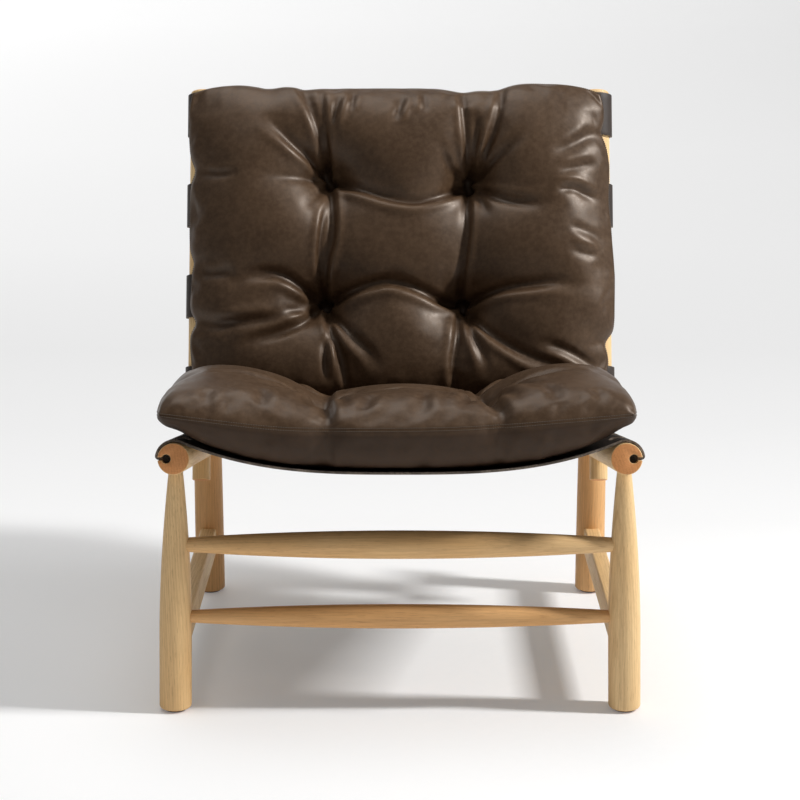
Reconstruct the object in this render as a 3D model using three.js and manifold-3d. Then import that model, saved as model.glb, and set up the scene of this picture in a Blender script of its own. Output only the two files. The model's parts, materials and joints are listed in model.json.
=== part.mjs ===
// A low lounge chair: a turned wooden frame carries two thick leather slings, and two loose tufted
// leather cushions lie on the slings. Each sling wraps its timbers and is held by a rod in a keyhole groove.
// Millimetres. +X is the viewer's right, the front faces -Y and +Z is up.
// Every piece of one side is drawn for +X. The other side is its mirror image.
import * as THREE from "three";
import { mergeVertices } from "three/addons/utils/BufferGeometryUtils.js";
import Module from "manifold-3d";

const wasm = await Module();
wasm.setup();

const degrees = Math.PI / 180;

// Stance of the frame
const railSpacing = 622; // between the axes of the two seat rails, and of the posts
const footSpacing = 640; // between the axes of the front legs at the floor
const legSetback = 500; // from the front legs' axes back to the rear legs'
const railHeight = 373; // of a rail's axis above the floor, over the front leg
const seatSlope = 14 * degrees; // the rails fall towards the back
const recline = 22 * degrees; // the posts lean back from upright

// Clearances and steps that the whole chair shares
const jointGap = 0.3; // between a tenon and its mortise, and between pieces that rest on each other
const overrun = 20; // how far a cutting tool runs past what it cuts
const mergeTolerance = 0.001; // points closer than this are one
const timberSides = 24;
const boreSides = 16;

// Front legs, thick below and drawn in towards the rail
const frontLegRadius = 22.9;
const frontLegTopRadius = 10; // on the level of the rail's axis
const frontLegTaperStart = 120; // height where the leg starts to draw in
const legSteps = 6;
const taperPower = 1.7; // of the share of the way up, for how far a leg is drawn in
const footRounding = 4;
const legDowelRadius = 8;
const legDowelCover = 3.2; // of wood between the dowel's upper end and the level of the groove
const legDowelSeat = 16; // of the dowel's lower end below the rail

// Rear legs
const rearLegRadius = 23;
const rearLegTopRadius = 22;
const rearLegTaperStart = 60;
const rearLegInset = 4; // of its axis, inside the rail's

// Foot glides, each a disc with a nail
const glideRadius = 16;
const glideHeight = 3;
const nailRadius = 1.6;
const nailLength = 14;

// Seat rails
const railRadius = 22;
const railFrontOverhang = 39; // along the rail, ahead of the front leg's axis
const railRearOverhang = 38; // along the rail, behind the rear leg's axis

// Keyhole groove in every timber that holds a sling
const grooveOffset = 10; // of the round hole from the timber's axis, outwards
const grooveRadius = 6.4;
const slotHeight = 4.8;

// Back posts, each a round timber with a thinner end that passes through the rail
const postRadius = 22;
const postStation = 444; // along the rail, from the front leg's plane to the post's axis
const postLength = 565; // from the rail's axis up to the post's top
const postFoot = 56; // from the rail's axis down to the post's lower end
const postTenonRadius = 14;
const shoulderStart = 27; // above the rail's axis, where the post starts to swell
const shoulderEnd = 50;
const postTopRounding = 5;
const postPinRadius = 4;
const postPinLength = 27;
const postPinInset = 1.5; // below the rail's inner side

// Turned stretchers between the front legs, thick in the middle
const upperStretcherHeight = 246;
const upperStretcherRadius = 20;
const upperStretcherEndRadius = 10;
const lowerStretcherHeight = 139.5;
const lowerStretcherRadius = 17.2;
const lowerStretcherEndRadius = 8.6;
const stretcherTenon = 15;
const stretcherSteps = 10;

// Flat boards between the front and the rear legs
const sideBoardHeight = 90; // of its axis above the floor
const sideBoardDepth = 42;
const sideBoardThickness = 25;
const sideBoardRounding = 4;
const sideBoardTenon = 12; // into the leg
const sideBoardTenonHeight = 28;
const sideBoardTenonThickness = 10;

// Cross rails that the cushions hide
const rearRailSetback = 32; // along the seat rails, behind the posts' axes
const rearRailRadius = 15;
const backRailHeight = 455; // along the posts
const backRailSetback = 9; // behind the posts' axes
const backRailRadius = 12;
const crossRailEndRadius = 9;
const crossRailTenon = 11;
const crossRailSteps = 6;

// Slings
const slingThickness = 3.6;
const wrapGap = 1; // between the leather and the timber that it wraps
const elbowRadius = 3.4; // of the bend where the leather turns into the slot
const beadRadius = 5.9; // of the sleeve that holds the rod
const rodRadius = 3;
const tabWidth = 68;
const notchInset = 15; // of the notches' inner edge from the timber's axis, towards the middle
const notchRounding = 10;
const spanSteps = 9;
const wrapSteps = 7;
const elbowSteps = 3;

const seatSlingInset = 11; // of its front edge from the rails' front ends
const seatSlingPostGap = 59; // along the rails, from its rear edge to the posts' axes
const seatSlingDrop = 20.4; // of its middle below the rails' axes
const seatSlingSlope = 23 * degrees; // where it leaves the rail
const seatTabCount = 4;

const backSlingClearance = 3.5; // of its lower edge above the posts' shoulders
const backSlingInset = 7; // of its upper edge below the posts' tops
const backSlingStandoff = 15; // of its middle ahead of the posts' axes
const backSlingSlope = 7 * degrees;
const backTabCount = 4;

// Cushions, each of three by three pillows with a seam round its edge
const cushionRestGap = 0.8; // above the sling
const tuftSpread = 108; // of the tuft columns from the middle
const tuftRadius = 30;
const valleyRadius = 26;
const sidePinch = 7; // how far a side is drawn in at each valley
const cushionColumns = 24;
const cushionRows = 20;

const seatCushionOverhang = 23; // on each side, past the rails' axes
const seatCushionNose = 23; // ahead of the rails' front ends
const seatCushionPostGap = 42; // along the rails, from its rear edge to the posts' axes
const seatSeamMiddle = 41; // above the rails' axes
const seatSeamRise = 21; // at the sides over the middle
const seatCrown = 60;
const seatSideCrown = 82;
const seatTuftDepth = 34;
const seatValleyDepth = 24;
const pressLength = 84; // of the rear stretch that the back cushion presses down
const pressRamp = 44; // of the slope into that stretch

const backCushionOverhang = 17; // on each side, past the posts' axes
const backCushionSettling = 6; // of its lower edge into the pressed stretch's side pillows
const backCushionInset = 14; // of its upper edge below the posts' tops
const backSeamMiddle = 80; // ahead of the posts' axes
const backSeamRise = 4;
const backCrown = 56;
const backSideCrown = 58;
const backTuftDepth = 40;
const backValleyDepth = 14;
const backTuftPitch = 196;

// Shares that shape the cushions
const cornerDrawShare = 0.035; // how far a corner is drawn in, of the half width or depth
const pressShare = 0.72; // how much of the crown is lost under the back cushion
const edgeGridShare = 0.55; // how strongly the grid gathers at the edges

// Powers that shape the cushions: the higher, the squarer
const cornerPower = 6;
const pinchPower = 5;
const crownPowerAcross = 4;
const crownPowerAlong = 3.5;
const bellyPower = 8;

// Finishes
const oak = new THREE.MeshStandardMaterial({ color: 0xd8b88b, roughness: 0.55, metalness: 0 });
const slingLeather = new THREE.MeshStandardMaterial({ color: 0x2e231b, roughness: 0.6, metalness: 0 });
const cushionLeather = new THREE.MeshStandardMaterial({ color: 0x40342b, roughness: 0.5, metalness: 0 });
const blackRod = new THREE.MeshStandardMaterial({ color: 0x15120f, roughness: 0.5, metalness: 0 });
const darkFelt = new THREE.MeshStandardMaterial({ color: 0x2b2a29, roughness: 0.8, metalness: 0 });

// Solids

function toSolid(geometry) {
  const bare = geometry.index ? geometry.toNonIndexed() : geometry.clone();
  const positions = new THREE.BufferGeometry().setAttribute("position", bare.getAttribute("position"));
  const merged = mergeVertices(positions, mergeTolerance);
  return new wasm.Manifold(
    new wasm.Mesh({
      numProp: 3,
      vertProperties: new Float32Array(merged.attributes.position.array),
      triVerts: new Uint32Array(merged.index.array),
    }),
  );
}

function toGeometry(solid) {
  const mesh = solid.getMesh();
  const geometry = new THREE.BufferGeometry();
  geometry.setAttribute("position", new THREE.BufferAttribute(mesh.vertProperties, 3));
  geometry.setIndex(new THREE.BufferAttribute(mesh.triVerts, 1));
  const facets = geometry.toNonIndexed();
  facets.computeVertexNormals();
  return facets;
}

// The tools and additions are given in the chair's frame, the geometry in the piece's own.
function shaped(geometry, frame, tools, additions = []) {
  const home = frame.clone().invert();
  let solid = toSolid(geometry);
  for (const tool of tools) {
    solid = solid.subtract(toSolid(tool.clone().applyMatrix4(home)));
  }
  for (const addition of additions) {
    solid = solid.add(toSolid(addition.clone().applyMatrix4(home)));
  }
  return toGeometry(solid);
}

function frameAt(x, y, z, tilt = 0, turn = 0) {
  const rotation = new THREE.Matrix4().makeRotationFromEuler(new THREE.Euler(tilt, 0, turn));
  return new THREE.Matrix4().makeTranslation(x, y, z).multiply(rotation);
}

// A round bar from one height to another on the Z axis.
function bar(radius, from, to, sides = boreSides) {
  const cylinder = new THREE.CylinderGeometry(radius, radius, to - from, sides);
  return cylinder.rotateX(Math.PI / 2).translate(0, 0, (from + to) / 2);
}

// A turned solid on the Z axis, from pairs of radius and height.
function turned(profile) {
  const points = profile.map(([radius, height]) => new THREE.Vector2(radius, height));
  return new THREE.LatheGeometry(points, timberSides).rotateX(Math.PI / 2);
}

function alongX(geometry) {
  return geometry.rotateY(Math.PI / 2);
}

function alongY(geometry) {
  return geometry.rotateX(-Math.PI / 2);
}

function smoothstep(from, to, value) {
  const share = Math.min(Math.max((value - from) / (to - from), 0), 1);
  return share * share * (3 - 2 * share);
}

function bell(distance, radius) {
  return Math.exp(-((distance / radius) ** 2));
}

function pieceMesh(name, geometry, material, frame) {
  const mesh = new THREE.Mesh(geometry, material);
  mesh.name = name;
  mesh.applyMatrix4(frame);
  return mesh;
}

// Frames that the pieces hang on

const railX = railSpacing / 2;
const footX = footSpacing / 2;
const splay = (footX - railX) / railHeight;
const seatFrame = frameAt(0, 0, railHeight, -seatSlope);
const railFrame = frameAt(railX, 0, railHeight, -seatSlope);
const rearLegStation = legSetback / Math.cos(seatSlope);
const rearLegHeight = railHeight - legSetback * Math.tan(seatSlope);
const postFootpoint = new THREE.Vector3(0, postStation, 0).applyMatrix4(seatFrame);
const backFrame = frameAt(0, postFootpoint.y, postFootpoint.z, -recline);
const postFrame = frameAt(railX, postFootpoint.y, postFootpoint.z, -recline);
const frontLegFrame = frameAt(footX, 0, 0);
const rearLegX = railX - rearLegInset;
const rearLegFrame = frameAt(rearLegX, legSetback, 0);

function frontLegX(height) {
  return footX - splay * height;
}

// Extents that follow the timbers, along the rails or along the posts

const rearRailStation = postStation + rearRailSetback;
const seatSlingFront = railFrontOverhang - seatSlingInset;
const seatSlingRear = postStation - seatSlingPostGap;
const seatCushionHalfWidth = railX + seatCushionOverhang;
const seatCushionFront = railFrontOverhang + seatCushionNose;
const seatCushionRear = postStation - seatCushionPostGap;
const pressStart = seatCushionRear - pressLength;

const backSlingBottom = shoulderEnd + backSlingClearance;
const backSlingTop = postLength - backSlingInset;
const backCushionHalfWidth = railX + backCushionOverhang;
const backCushionBottom = seatSeamMiddle + seatSideCrown * (1 - pressShare) - backCushionSettling;
const backCushionTop = postLength - backCushionInset;

function taperShare(start, end, height) {
  return Math.min(Math.max((height - start) / (end - start), 0), 1) ** taperPower;
}

function frontLegRadiusAt(height) {
  const drawn = taperShare(frontLegTaperStart, railHeight, height);
  return frontLegRadius + (frontLegTopRadius - frontLegRadius) * drawn;
}

function rearLegRadiusAt(height) {
  const drawn = taperShare(rearLegTaperStart, rearLegHeight, height);
  return rearLegRadius + (rearLegTopRadius - rearLegRadius) * drawn;
}

// Leans a leg that stands upright on its foot in towards the rail, with its foot kept level.
function splayed(geometry) {
  const shear = new THREE.Matrix4().set(1, 0, -splay, 0, 0, 1, 0, 0, 0, 0, 1, 0, 0, 0, 0, 1);
  return geometry.applyMatrix4(shear);
}

// Cutting tools and tenons in the chair's frame, each with the clearance that it is asked for

function railEnvelope(gap) {
  const rear = rearLegStation + railRearOverhang + overrun;
  const rail = bar(railRadius + gap, -overrun - railFrontOverhang, rear, timberSides);
  return alongY(rail).applyMatrix4(railFrame);
}

function legDowel(axisHeight, gap) {
  const underside = axisHeight - railRadius / Math.cos(seatSlope);
  const upperEnd = axisHeight - grooveRadius - legDowelCover;
  return bar(legDowelRadius + gap, underside - legDowelSeat, upperEnd + gap);
}

function frontLegDowel(gap) {
  return splayed(legDowel(railHeight, gap)).applyMatrix4(frontLegFrame);
}

function rearLegDowel(gap) {
  return legDowel(rearLegHeight, gap).applyMatrix4(rearLegFrame);
}

function nailHole(frame) {
  return bar(nailRadius + jointGap, -overrun, nailLength + glideHeight + jointGap).applyMatrix4(frame);
}

function stretcherReach(height) {
  return frontLegX(height) - frontLegRadiusAt(height) + stretcherTenon;
}

function stretcherMortise(height, endRadius) {
  const reach = stretcherReach(height) + jointGap;
  return alongX(bar(endRadius + jointGap, 0, reach)).applyMatrix4(frameAt(0, 0, height));
}

const boardFrontX = frontLegX(sideBoardHeight);
const boardLength = Math.hypot(legSetback, boardFrontX - rearLegX);
const boardTurn = Math.atan2(boardFrontX - rearLegX, legSetback);
const boardFrame = frameAt(boardFrontX, 0, sideBoardHeight, 0, boardTurn);
const boardTenonFrom = frontLegRadius - sideBoardTenon;
const boardTenonTo = boardLength - rearLegRadius + sideBoardTenon;

function boardTenon(gap) {
  const length = boardTenonTo - boardTenonFrom + 2 * gap;
  const box = new THREE.BoxGeometry(
    sideBoardTenonThickness + 2 * gap,
    length,
    sideBoardTenonHeight + 2 * gap,
  );
  return box.translate(0, (boardTenonFrom + boardTenonTo) / 2, 0).applyMatrix4(boardFrame);
}

function legEnvelope(radius, frame, lean) {
  const post = bar(radius + jointGap, -overrun, sideBoardHeight + sideBoardDepth + overrun, timberSides);
  return (lean ? splayed(post) : post).applyMatrix4(frame);
}

function postTenon(gap) {
  const tenon = bar(postTenonRadius + gap, -postFoot - overrun, shoulderStart + overrun, timberSides);
  return tenon.applyMatrix4(postFrame);
}

const postPinStart = -railRadius + postPinInset;
const postPinEnd = postPinStart + postPinLength;
const postPinFrame = railFrame.clone().multiply(frameAt(0, postStation, 0));

function postPinHole() {
  const hole = bar(postPinRadius + jointGap, postPinStart - overrun, postPinEnd + jointGap);
  return alongX(hole).applyMatrix4(postPinFrame);
}

const rearRailFrame = seatFrame.clone().multiply(frameAt(0, rearRailStation, 0));
const backRailFrame = backFrame.clone().multiply(frameAt(0, backRailSetback, backRailHeight));
const rearRailReach = railX - railRadius + crossRailTenon;
const backRailReach = railX - Math.sqrt(postRadius ** 2 - backRailSetback ** 2) + crossRailTenon;

function crossRailMortise(reach, frame) {
  return alongX(bar(crossRailEndRadius + jointGap, 0, reach + jointGap)).applyMatrix4(frame);
}

// Wooden pieces

function legGeometry(radiusAt, taperStart, top) {
  const footRadius = radiusAt(0);
  const chamfer = footRounding * (1 - Math.SQRT1_2);
  const profile = [
    [0, glideHeight],
    [footRadius - footRounding, glideHeight],
    [footRadius - chamfer, glideHeight + chamfer],
    [footRadius, glideHeight + footRounding],
  ];
  for (let step = 0; step <= legSteps; step += 1) {
    const height = taperStart + ((top - taperStart) * step) / legSteps;
    profile.push([radiusAt(height), height]);
  }
  profile.push([0, top]);
  return turned(profile);
}

function frontLegGeometry() {
  const blank = splayed(legGeometry(frontLegRadiusAt, frontLegTaperStart, railHeight));
  const tools = [
    railEnvelope(jointGap),
    nailHole(frontLegFrame),
    stretcherMortise(upperStretcherHeight, upperStretcherEndRadius),
    stretcherMortise(lowerStretcherHeight, lowerStretcherEndRadius),
    boardTenon(jointGap),
  ];
  return shaped(blank, frontLegFrame, tools, [frontLegDowel(0)]);
}

function rearLegGeometry() {
  const blank = legGeometry(rearLegRadiusAt, rearLegTaperStart, rearLegHeight);
  const tools = [railEnvelope(jointGap), nailHole(rearLegFrame), boardTenon(jointGap)];
  return shaped(blank, rearLegFrame, tools, [rearLegDowel(0)]);
}

// The keyhole groove is a round hole with a slot that opens on the outer side, drawn along the Z axis.
function keyholeGroove(radius, from, to) {
  const slotLength = radius + overrun - grooveOffset;
  const slot = new THREE.BoxGeometry(slotLength, slotHeight, to - from);
  slot.translate(grooveOffset + slotLength / 2, 0, (from + to) / 2);
  const hole = bar(grooveRadius, from, to).translate(grooveOffset, 0, 0);
  return toGeometry(toSolid(slot).add(toSolid(hole)));
}

function seatRailGeometry() {
  const rear = rearLegStation + railRearOverhang;
  const blank = alongY(bar(railRadius, -railFrontOverhang, rear, timberSides));
  const groove = alongY(keyholeGroove(railRadius, -railFrontOverhang - overrun, rear + overrun));
  const tools = [
    groove.applyMatrix4(railFrame),
    frontLegDowel(jointGap),
    rearLegDowel(jointGap),
    postTenon(jointGap),
    postPinHole(),
    crossRailMortise(rearRailReach, rearRailFrame),
  ];
  return shaped(blank, railFrame, tools);
}

function backPostGeometry() {
  const chamfer = postTopRounding * (1 - Math.SQRT1_2);
  const blank = turned([
    [0, -postFoot],
    [postTenonRadius, -postFoot],
    [postTenonRadius, shoulderStart],
    [postRadius, shoulderEnd],
    [postRadius, postLength - postTopRounding],
    [postRadius - chamfer, postLength - chamfer],
    [postRadius - postTopRounding, postLength],
    [0, postLength],
  ]);
  const groove = keyholeGroove(postRadius, shoulderEnd, postLength + overrun);
  const tools = [
    groove.applyMatrix4(postFrame),
    postPinHole(),
    crossRailMortise(backRailReach, backRailFrame),
  ];
  return shaped(blank, postFrame, tools);
}

// A spindle across the chair, thick in the middle, with a straight tenon at each end.
function spindleGeometry(middleRadius, endRadius, reach, tenon, steps) {
  const shoulder = reach - tenon;
  const profile = [[0, -reach], [endRadius, -reach]];
  for (let step = 0; step <= steps; step += 1) {
    const share = (2 * step) / steps - 1;
    profile.push([endRadius + (middleRadius - endRadius) * (1 - share * share), share * shoulder]);
  }
  profile.push([endRadius, reach], [0, reach]);
  return alongX(turned(profile));
}

function sideBoardGeometry() {
  const halfThickness = sideBoardThickness / 2;
  const halfDepth = sideBoardDepth / 2;
  const inner = halfThickness - sideBoardRounding;
  const upper = halfDepth - sideBoardRounding;
  const section = new THREE.Shape();
  section.absarc(inner, upper, sideBoardRounding, 0, Math.PI / 2);
  section.absarc(-inner, upper, sideBoardRounding, Math.PI / 2, Math.PI);
  section.absarc(-inner, -upper, sideBoardRounding, Math.PI, (3 * Math.PI) / 2);
  section.absarc(inner, -upper, sideBoardRounding, (3 * Math.PI) / 2, 2 * Math.PI);
  const options = { depth: boardLength, bevelEnabled: false, curveSegments: 4 };
  const extruded = new THREE.ExtrudeGeometry(section, options);
  const blank = extruded.rotateX(Math.PI / 2).translate(0, boardLength, 0);
  const tools = [
    legEnvelope(frontLegRadius, frontLegFrame, true),
    legEnvelope(rearLegRadius, rearLegFrame, false),
  ];
  return shaped(blank, boardFrame, tools, [boardTenon(0)]);
}

function postPinGeometry() {
  return alongX(bar(postPinRadius, postPinStart, postPinEnd));
}

function glideGeometry() {
  const disc = bar(glideRadius, 0, glideHeight - jointGap);
  const nail = bar(nailRadius, glideHeight / 2, nailLength + glideHeight);
  return toGeometry(toSolid(disc).add(toSolid(nail)));
}

// Slings. A profile lies in the plane across the timbers: x to the side, and height off the timbers' axes.

const wrapRadius = railRadius + wrapGap + slingThickness / 2;

// Height of the sling's middle surface over the timbers' axes, at a distance from the chair's middle.
function slingHeight(x, middle, slope) {
  const leaveX = railX - wrapRadius * Math.sin(slope);
  const leaveHeight = wrapRadius * Math.cos(slope);
  const side = Math.abs(x);
  if (side > leaveX) {
    return Math.sqrt(Math.max(wrapRadius ** 2 - (side - railX) ** 2, 0));
  }
  const power = (Math.tan(slope) * leaveX) / (leaveHeight - middle);
  return middle + (leaveHeight - middle) * (side / leaveX) ** power;
}

// The middle line of half a sling: out from the middle, round the timber and back in to the rod.
function slingHalfLine(middle, slope) {
  const leaveX = railX - wrapRadius * Math.sin(slope);
  const line = [];
  for (let step = 0; step <= spanSteps; step += 1) {
    const x = (leaveX * step) / spanSteps;
    line.push(new THREE.Vector2(x, slingHeight(x, middle, slope)));
  }
  const first = Math.PI / 2 + slope;
  const last = Math.asin(elbowRadius / wrapRadius);
  for (let step = 1; step <= wrapSteps; step += 1) {
    const angle = first + ((last - first) * step) / wrapSteps;
    line.push(new THREE.Vector2(railX + wrapRadius * Math.cos(angle), wrapRadius * Math.sin(angle)));
  }
  const elbowX = railX + wrapRadius * Math.cos(last) - elbowRadius;
  for (let step = 1; step <= elbowSteps; step += 1) {
    const angle = (-Math.PI / 2) * (step / elbowSteps);
    const height = elbowRadius * (1 + Math.sin(angle));
    line.push(new THREE.Vector2(elbowX + elbowRadius * Math.cos(angle), height));
  }
  line.push(new THREE.Vector2(railX + grooveOffset, 0));
  return line;
}

// The sling's cross-section: its middle line thickened to both sides.
function slingSection(middle, slope) {
  const half = slingHalfLine(middle, slope);
  const mirrored = half.slice(1).map((point) => new THREE.Vector2(-point.x, point.y));
  const line = [...mirrored.reverse(), ...half];
  const upper = [];
  const lower = [];
  line.forEach((point, index) => {
    const before = line[Math.max(index - 1, 0)];
    const after = line[Math.min(index + 1, line.length - 1)];
    const across = after.clone().sub(before).normalize();
    const normal = new THREE.Vector2(-across.y, across.x).multiplyScalar(slingThickness / 2);
    upper.push(point.clone().add(normal));
    lower.push(point.clone().sub(normal));
  });
  return new THREE.Shape([...lower, ...upper.reverse()]);
}

// A notch between two tabs, drawn flat: x to the side and y along the timber.
function notchShape(from, to) {
  const inner = railX - notchInset;
  const outer = railX + wrapRadius + overrun;
  const shape = new THREE.Shape();
  shape.moveTo(outer, from);
  shape.lineTo(outer, to);
  shape.lineTo(inner + notchRounding, to);
  shape.absarc(inner + notchRounding, to - notchRounding, notchRounding, Math.PI / 2, Math.PI);
  shape.absarc(inner + notchRounding, from + notchRounding, notchRounding, Math.PI, (3 * Math.PI) / 2);
  shape.closePath();
  return shape;
}

// A sling along +Z, with its outer face towards +Y, from one height to another.
function slingGeometry(middle, slope, from, to, tabCount) {
  const sheetOptions = { depth: to - from, bevelEnabled: false };
  const sheet = new THREE.ExtrudeGeometry(slingSection(middle, slope), sheetOptions);
  let solid = toSolid(sheet.translate(0, 0, from));
  const notchDepth = 2 * (wrapRadius + overrun);
  const notchOptions = { depth: notchDepth, bevelEnabled: false, curveSegments: 3 };
  for (const side of [1, -1]) {
    const rodX = side * (railX + grooveOffset);
    solid = solid.add(toSolid(bar(beadRadius, from, to).translate(rodX, 0, 0)));
    const bore = bar(rodRadius + jointGap, from - overrun, to + overrun).translate(rodX, 0, 0);
    solid = solid.subtract(toSolid(bore));
  }
  const pitch = (to - from - tabWidth) / (tabCount - 1);
  for (let tab = 0; tab < tabCount - 1; tab += 1) {
    const start = from + tab * pitch + tabWidth;
    const flat = new THREE.ExtrudeGeometry(notchShape(start, from + (tab + 1) * pitch), notchOptions);
    const notch = toGeometry(toSolid(flat.rotateX(Math.PI / 2).translate(0, notchDepth / 2, 0)));
    solid = solid.subtract(toSolid(notch));
    solid = solid.subtract(toSolid(notch).mirror([1, 0, 0]));
  }
  return toGeometry(solid);
}

function seatSlingGeometry() {
  const from = -seatSlingRear;
  const to = seatSlingFront;
  const sling = slingGeometry(-seatSlingDrop, seatSlingSlope, from, to, seatTabCount);
  return sling.rotateX(Math.PI / 2);
}

function backSlingGeometry() {
  const from = backSlingBottom;
  const to = backSlingTop;
  const sling = slingGeometry(backSlingStandoff, backSlingSlope, from, to, backTabCount);
  return sling.rotateZ(Math.PI);
}

function rodGeometry(from, to) {
  return bar(rodRadius, from, to).translate(grooveOffset, 0, 0);
}

// Cushions, drawn flat: x to the side, y along the depth and height off the timbers' axes.

function gathered(share) {
  return (1 - edgeGridShare) * share + edgeGridShare * Math.sin((share * Math.PI) / 2);
}

// How full the cushion stands at a share of its half width or depth.
function fullness(share, power) {
  return Math.sqrt(Math.max(1 - Math.abs(share) ** power, 0));
}

function cushionGeometry(form) {
  const halfDepth = (form.to - form.from) / 2;
  const centre = (form.to + form.from) / 2;
  const upper = [];
  const lower = [];
  for (let row = 0; row <= cushionRows; row += 1) {
    for (let column = 0; column <= cushionColumns; column += 1) {
      const across = gathered((2 * column) / cushionColumns - 1);
      const along = gathered((2 * row) / cushionRows - 1);
      const flatX = across * form.halfWidth * (1 - cornerDrawShare * along ** cornerPower);
      const flatY = along * halfDepth * (1 - cornerDrawShare * across ** cornerPower);
      const rowValley = form.tuftRows.reduce((sum, y) => sum + bell(centre + flatY - y, valleyRadius), 0);
      const columnValley = bell(Math.abs(flatX) - tuftSpread, valleyRadius);
      const x = flatX - sidePinch * rowValley * across ** pinchPower;
      const y = centre + flatY - sidePinch * columnValley * along ** pinchPower;
      const seam = form.seam(x);
      const body = fullness(across, crownPowerAcross) * fullness(along, crownPowerAlong);
      const tuft = form.tuftRows.reduce(
        (sum, tuftY) => sum + bell(Math.hypot(Math.abs(x) - tuftSpread, y - tuftY), tuftRadius),
        0,
      );
      const valley = form.valleyDepth * Math.max(rowValley, columnValley) + form.tuftDepth * tuft;
      const belly = fullness(across, bellyPower) * fullness(along, bellyPower);
      const floor = form.support(x) + cushionRestGap;
      upper.push([x, y, seam + form.crown(x, y) * body - valley * body]);
      lower.push([x, y, seam - (seam - floor) * belly]);
    }
  }
  const stride = cushionColumns + 1;
  const corners = [];
  for (let row = 0; row < cushionRows; row += 1) {
    for (let column = 0; column < cushionColumns; column += 1) {
      const a = row * stride + column;
      const quad = [a, a + 1, a + stride + 1, a, a + stride + 1, a + stride];
      corners.push(...quad.map((index) => upper[index]));
      corners.push(...quad.reverse().map((index) => lower[index]));
    }
  }
  const geometry = new THREE.BufferGeometry();
  geometry.setAttribute("position", new THREE.Float32BufferAttribute(corners.flat(), 3));
  return toGeometry(toSolid(geometry));
}

function sideBlend(x) {
  return smoothstep(0, tuftSpread * 2, Math.abs(x));
}

function seatCushionGeometry() {
  const depth = seatCushionFront + seatCushionRear;
  const third = depth / 3;
  return cushionGeometry({
    halfWidth: seatCushionHalfWidth,
    from: -seatCushionFront,
    to: seatCushionRear,
    tuftRows: [third - seatCushionFront, 2 * third - seatCushionFront],
    seam: (x) => seatSeamMiddle + seatSeamRise * (x / seatCushionHalfWidth) ** 2,
    crown: (x, y) =>
      (seatCrown + (seatSideCrown - seatCrown) * sideBlend(x)) *
      (1 - pressShare * smoothstep(pressStart, pressStart + pressRamp, y)),
    support: (x) => slingHeight(x, -seatSlingDrop, seatSlingSlope) + slingThickness / 2,
    tuftDepth: seatTuftDepth,
    valleyDepth: seatValleyDepth,
  });
}

function backCushionGeometry() {
  const middle = (backCushionBottom + backCushionTop) / 2;
  const cushion = cushionGeometry({
    halfWidth: backCushionHalfWidth,
    from: backCushionBottom,
    to: backCushionTop,
    tuftRows: [middle - backTuftPitch / 2, middle + backTuftPitch / 2],
    seam: (x) => backSeamMiddle + backSeamRise * (x / backCushionHalfWidth) ** 2,
    crown: (x) => backCrown + (backSideCrown - backCrown) * sideBlend(x),
    support: (x) => slingHeight(x, backSlingStandoff, backSlingSlope) + slingThickness / 2,
    tuftDepth: backTuftDepth,
    valleyDepth: backValleyDepth,
  });
  return cushion.rotateX(Math.PI / 2);
}

// The chair

const chair = new THREE.Group();
chair.name = "lounge_chair";

const geometries = {
  frontLeg: frontLegGeometry(),
  rearLeg: rearLegGeometry(),
  seatRail: seatRailGeometry(),
  backPost: backPostGeometry(),
  postPin: postPinGeometry(),
  sideBoard: sideBoardGeometry(),
  glide: glideGeometry(),
  seatRod: alongY(rodGeometry(-seatSlingFront, seatSlingRear)),
  backRod: rodGeometry(backSlingBottom, backSlingTop),
};

function sideAssembly(suffix) {
  const side = new THREE.Group();
  side.add(pieceMesh(`front_leg_${suffix}`, geometries.frontLeg, oak, frontLegFrame));
  side.add(pieceMesh(`rear_leg_${suffix}`, geometries.rearLeg, oak, rearLegFrame));
  side.add(pieceMesh(`seat_rail_${suffix}`, geometries.seatRail, oak, railFrame));
  side.add(pieceMesh(`back_post_${suffix}`, geometries.backPost, oak, postFrame));
  side.add(pieceMesh(`post_pin_${suffix}`, geometries.postPin, oak, postPinFrame));
  side.add(pieceMesh(`side_board_${suffix}`, geometries.sideBoard, oak, boardFrame));
  side.add(pieceMesh(`front_glide_${suffix}`, geometries.glide, darkFelt, frontLegFrame));
  side.add(pieceMesh(`rear_glide_${suffix}`, geometries.glide, darkFelt, rearLegFrame));
  side.add(pieceMesh(`seat_sling_rod_${suffix}`, geometries.seatRod, blackRod, railFrame));
  side.add(pieceMesh(`back_sling_rod_${suffix}`, geometries.backRod, blackRod, postFrame));
  return side;
}

const rightSide = sideAssembly("right");
const leftSide = sideAssembly("left");
leftSide.scale.x = -1;
chair.add(rightSide, leftSide);

function frontStretcher(name, height, middleRadius, endRadius) {
  const reach = stretcherReach(height);
  const spindle = spindleGeometry(middleRadius, endRadius, reach, stretcherTenon, stretcherSteps);
  chair.add(pieceMesh(name, spindle, oak, frameAt(0, 0, height)));
}

frontStretcher("front_stretcher_upper", upperStretcherHeight, upperStretcherRadius, upperStretcherEndRadius);
frontStretcher("front_stretcher_lower", lowerStretcherHeight, lowerStretcherRadius, lowerStretcherEndRadius);

function crossRail(name, middleRadius, reach, frame) {
  const spindle = spindleGeometry(middleRadius, crossRailEndRadius, reach, crossRailTenon, crossRailSteps);
  chair.add(pieceMesh(name, spindle, oak, frame));
}

crossRail("rear_cross_rail", rearRailRadius, rearRailReach, rearRailFrame);
crossRail("back_cross_rail", backRailRadius, backRailReach, backRailFrame);

chair.add(pieceMesh("seat_sling", seatSlingGeometry(), slingLeather, seatFrame));
chair.add(pieceMesh("back_sling", backSlingGeometry(), slingLeather, backFrame));
chair.add(pieceMesh("seat_cushion", seatCushionGeometry(), cushionLeather, seatFrame));
chair.add(pieceMesh("back_cushion", backCushionGeometry(), cushionLeather, backFrame));

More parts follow.
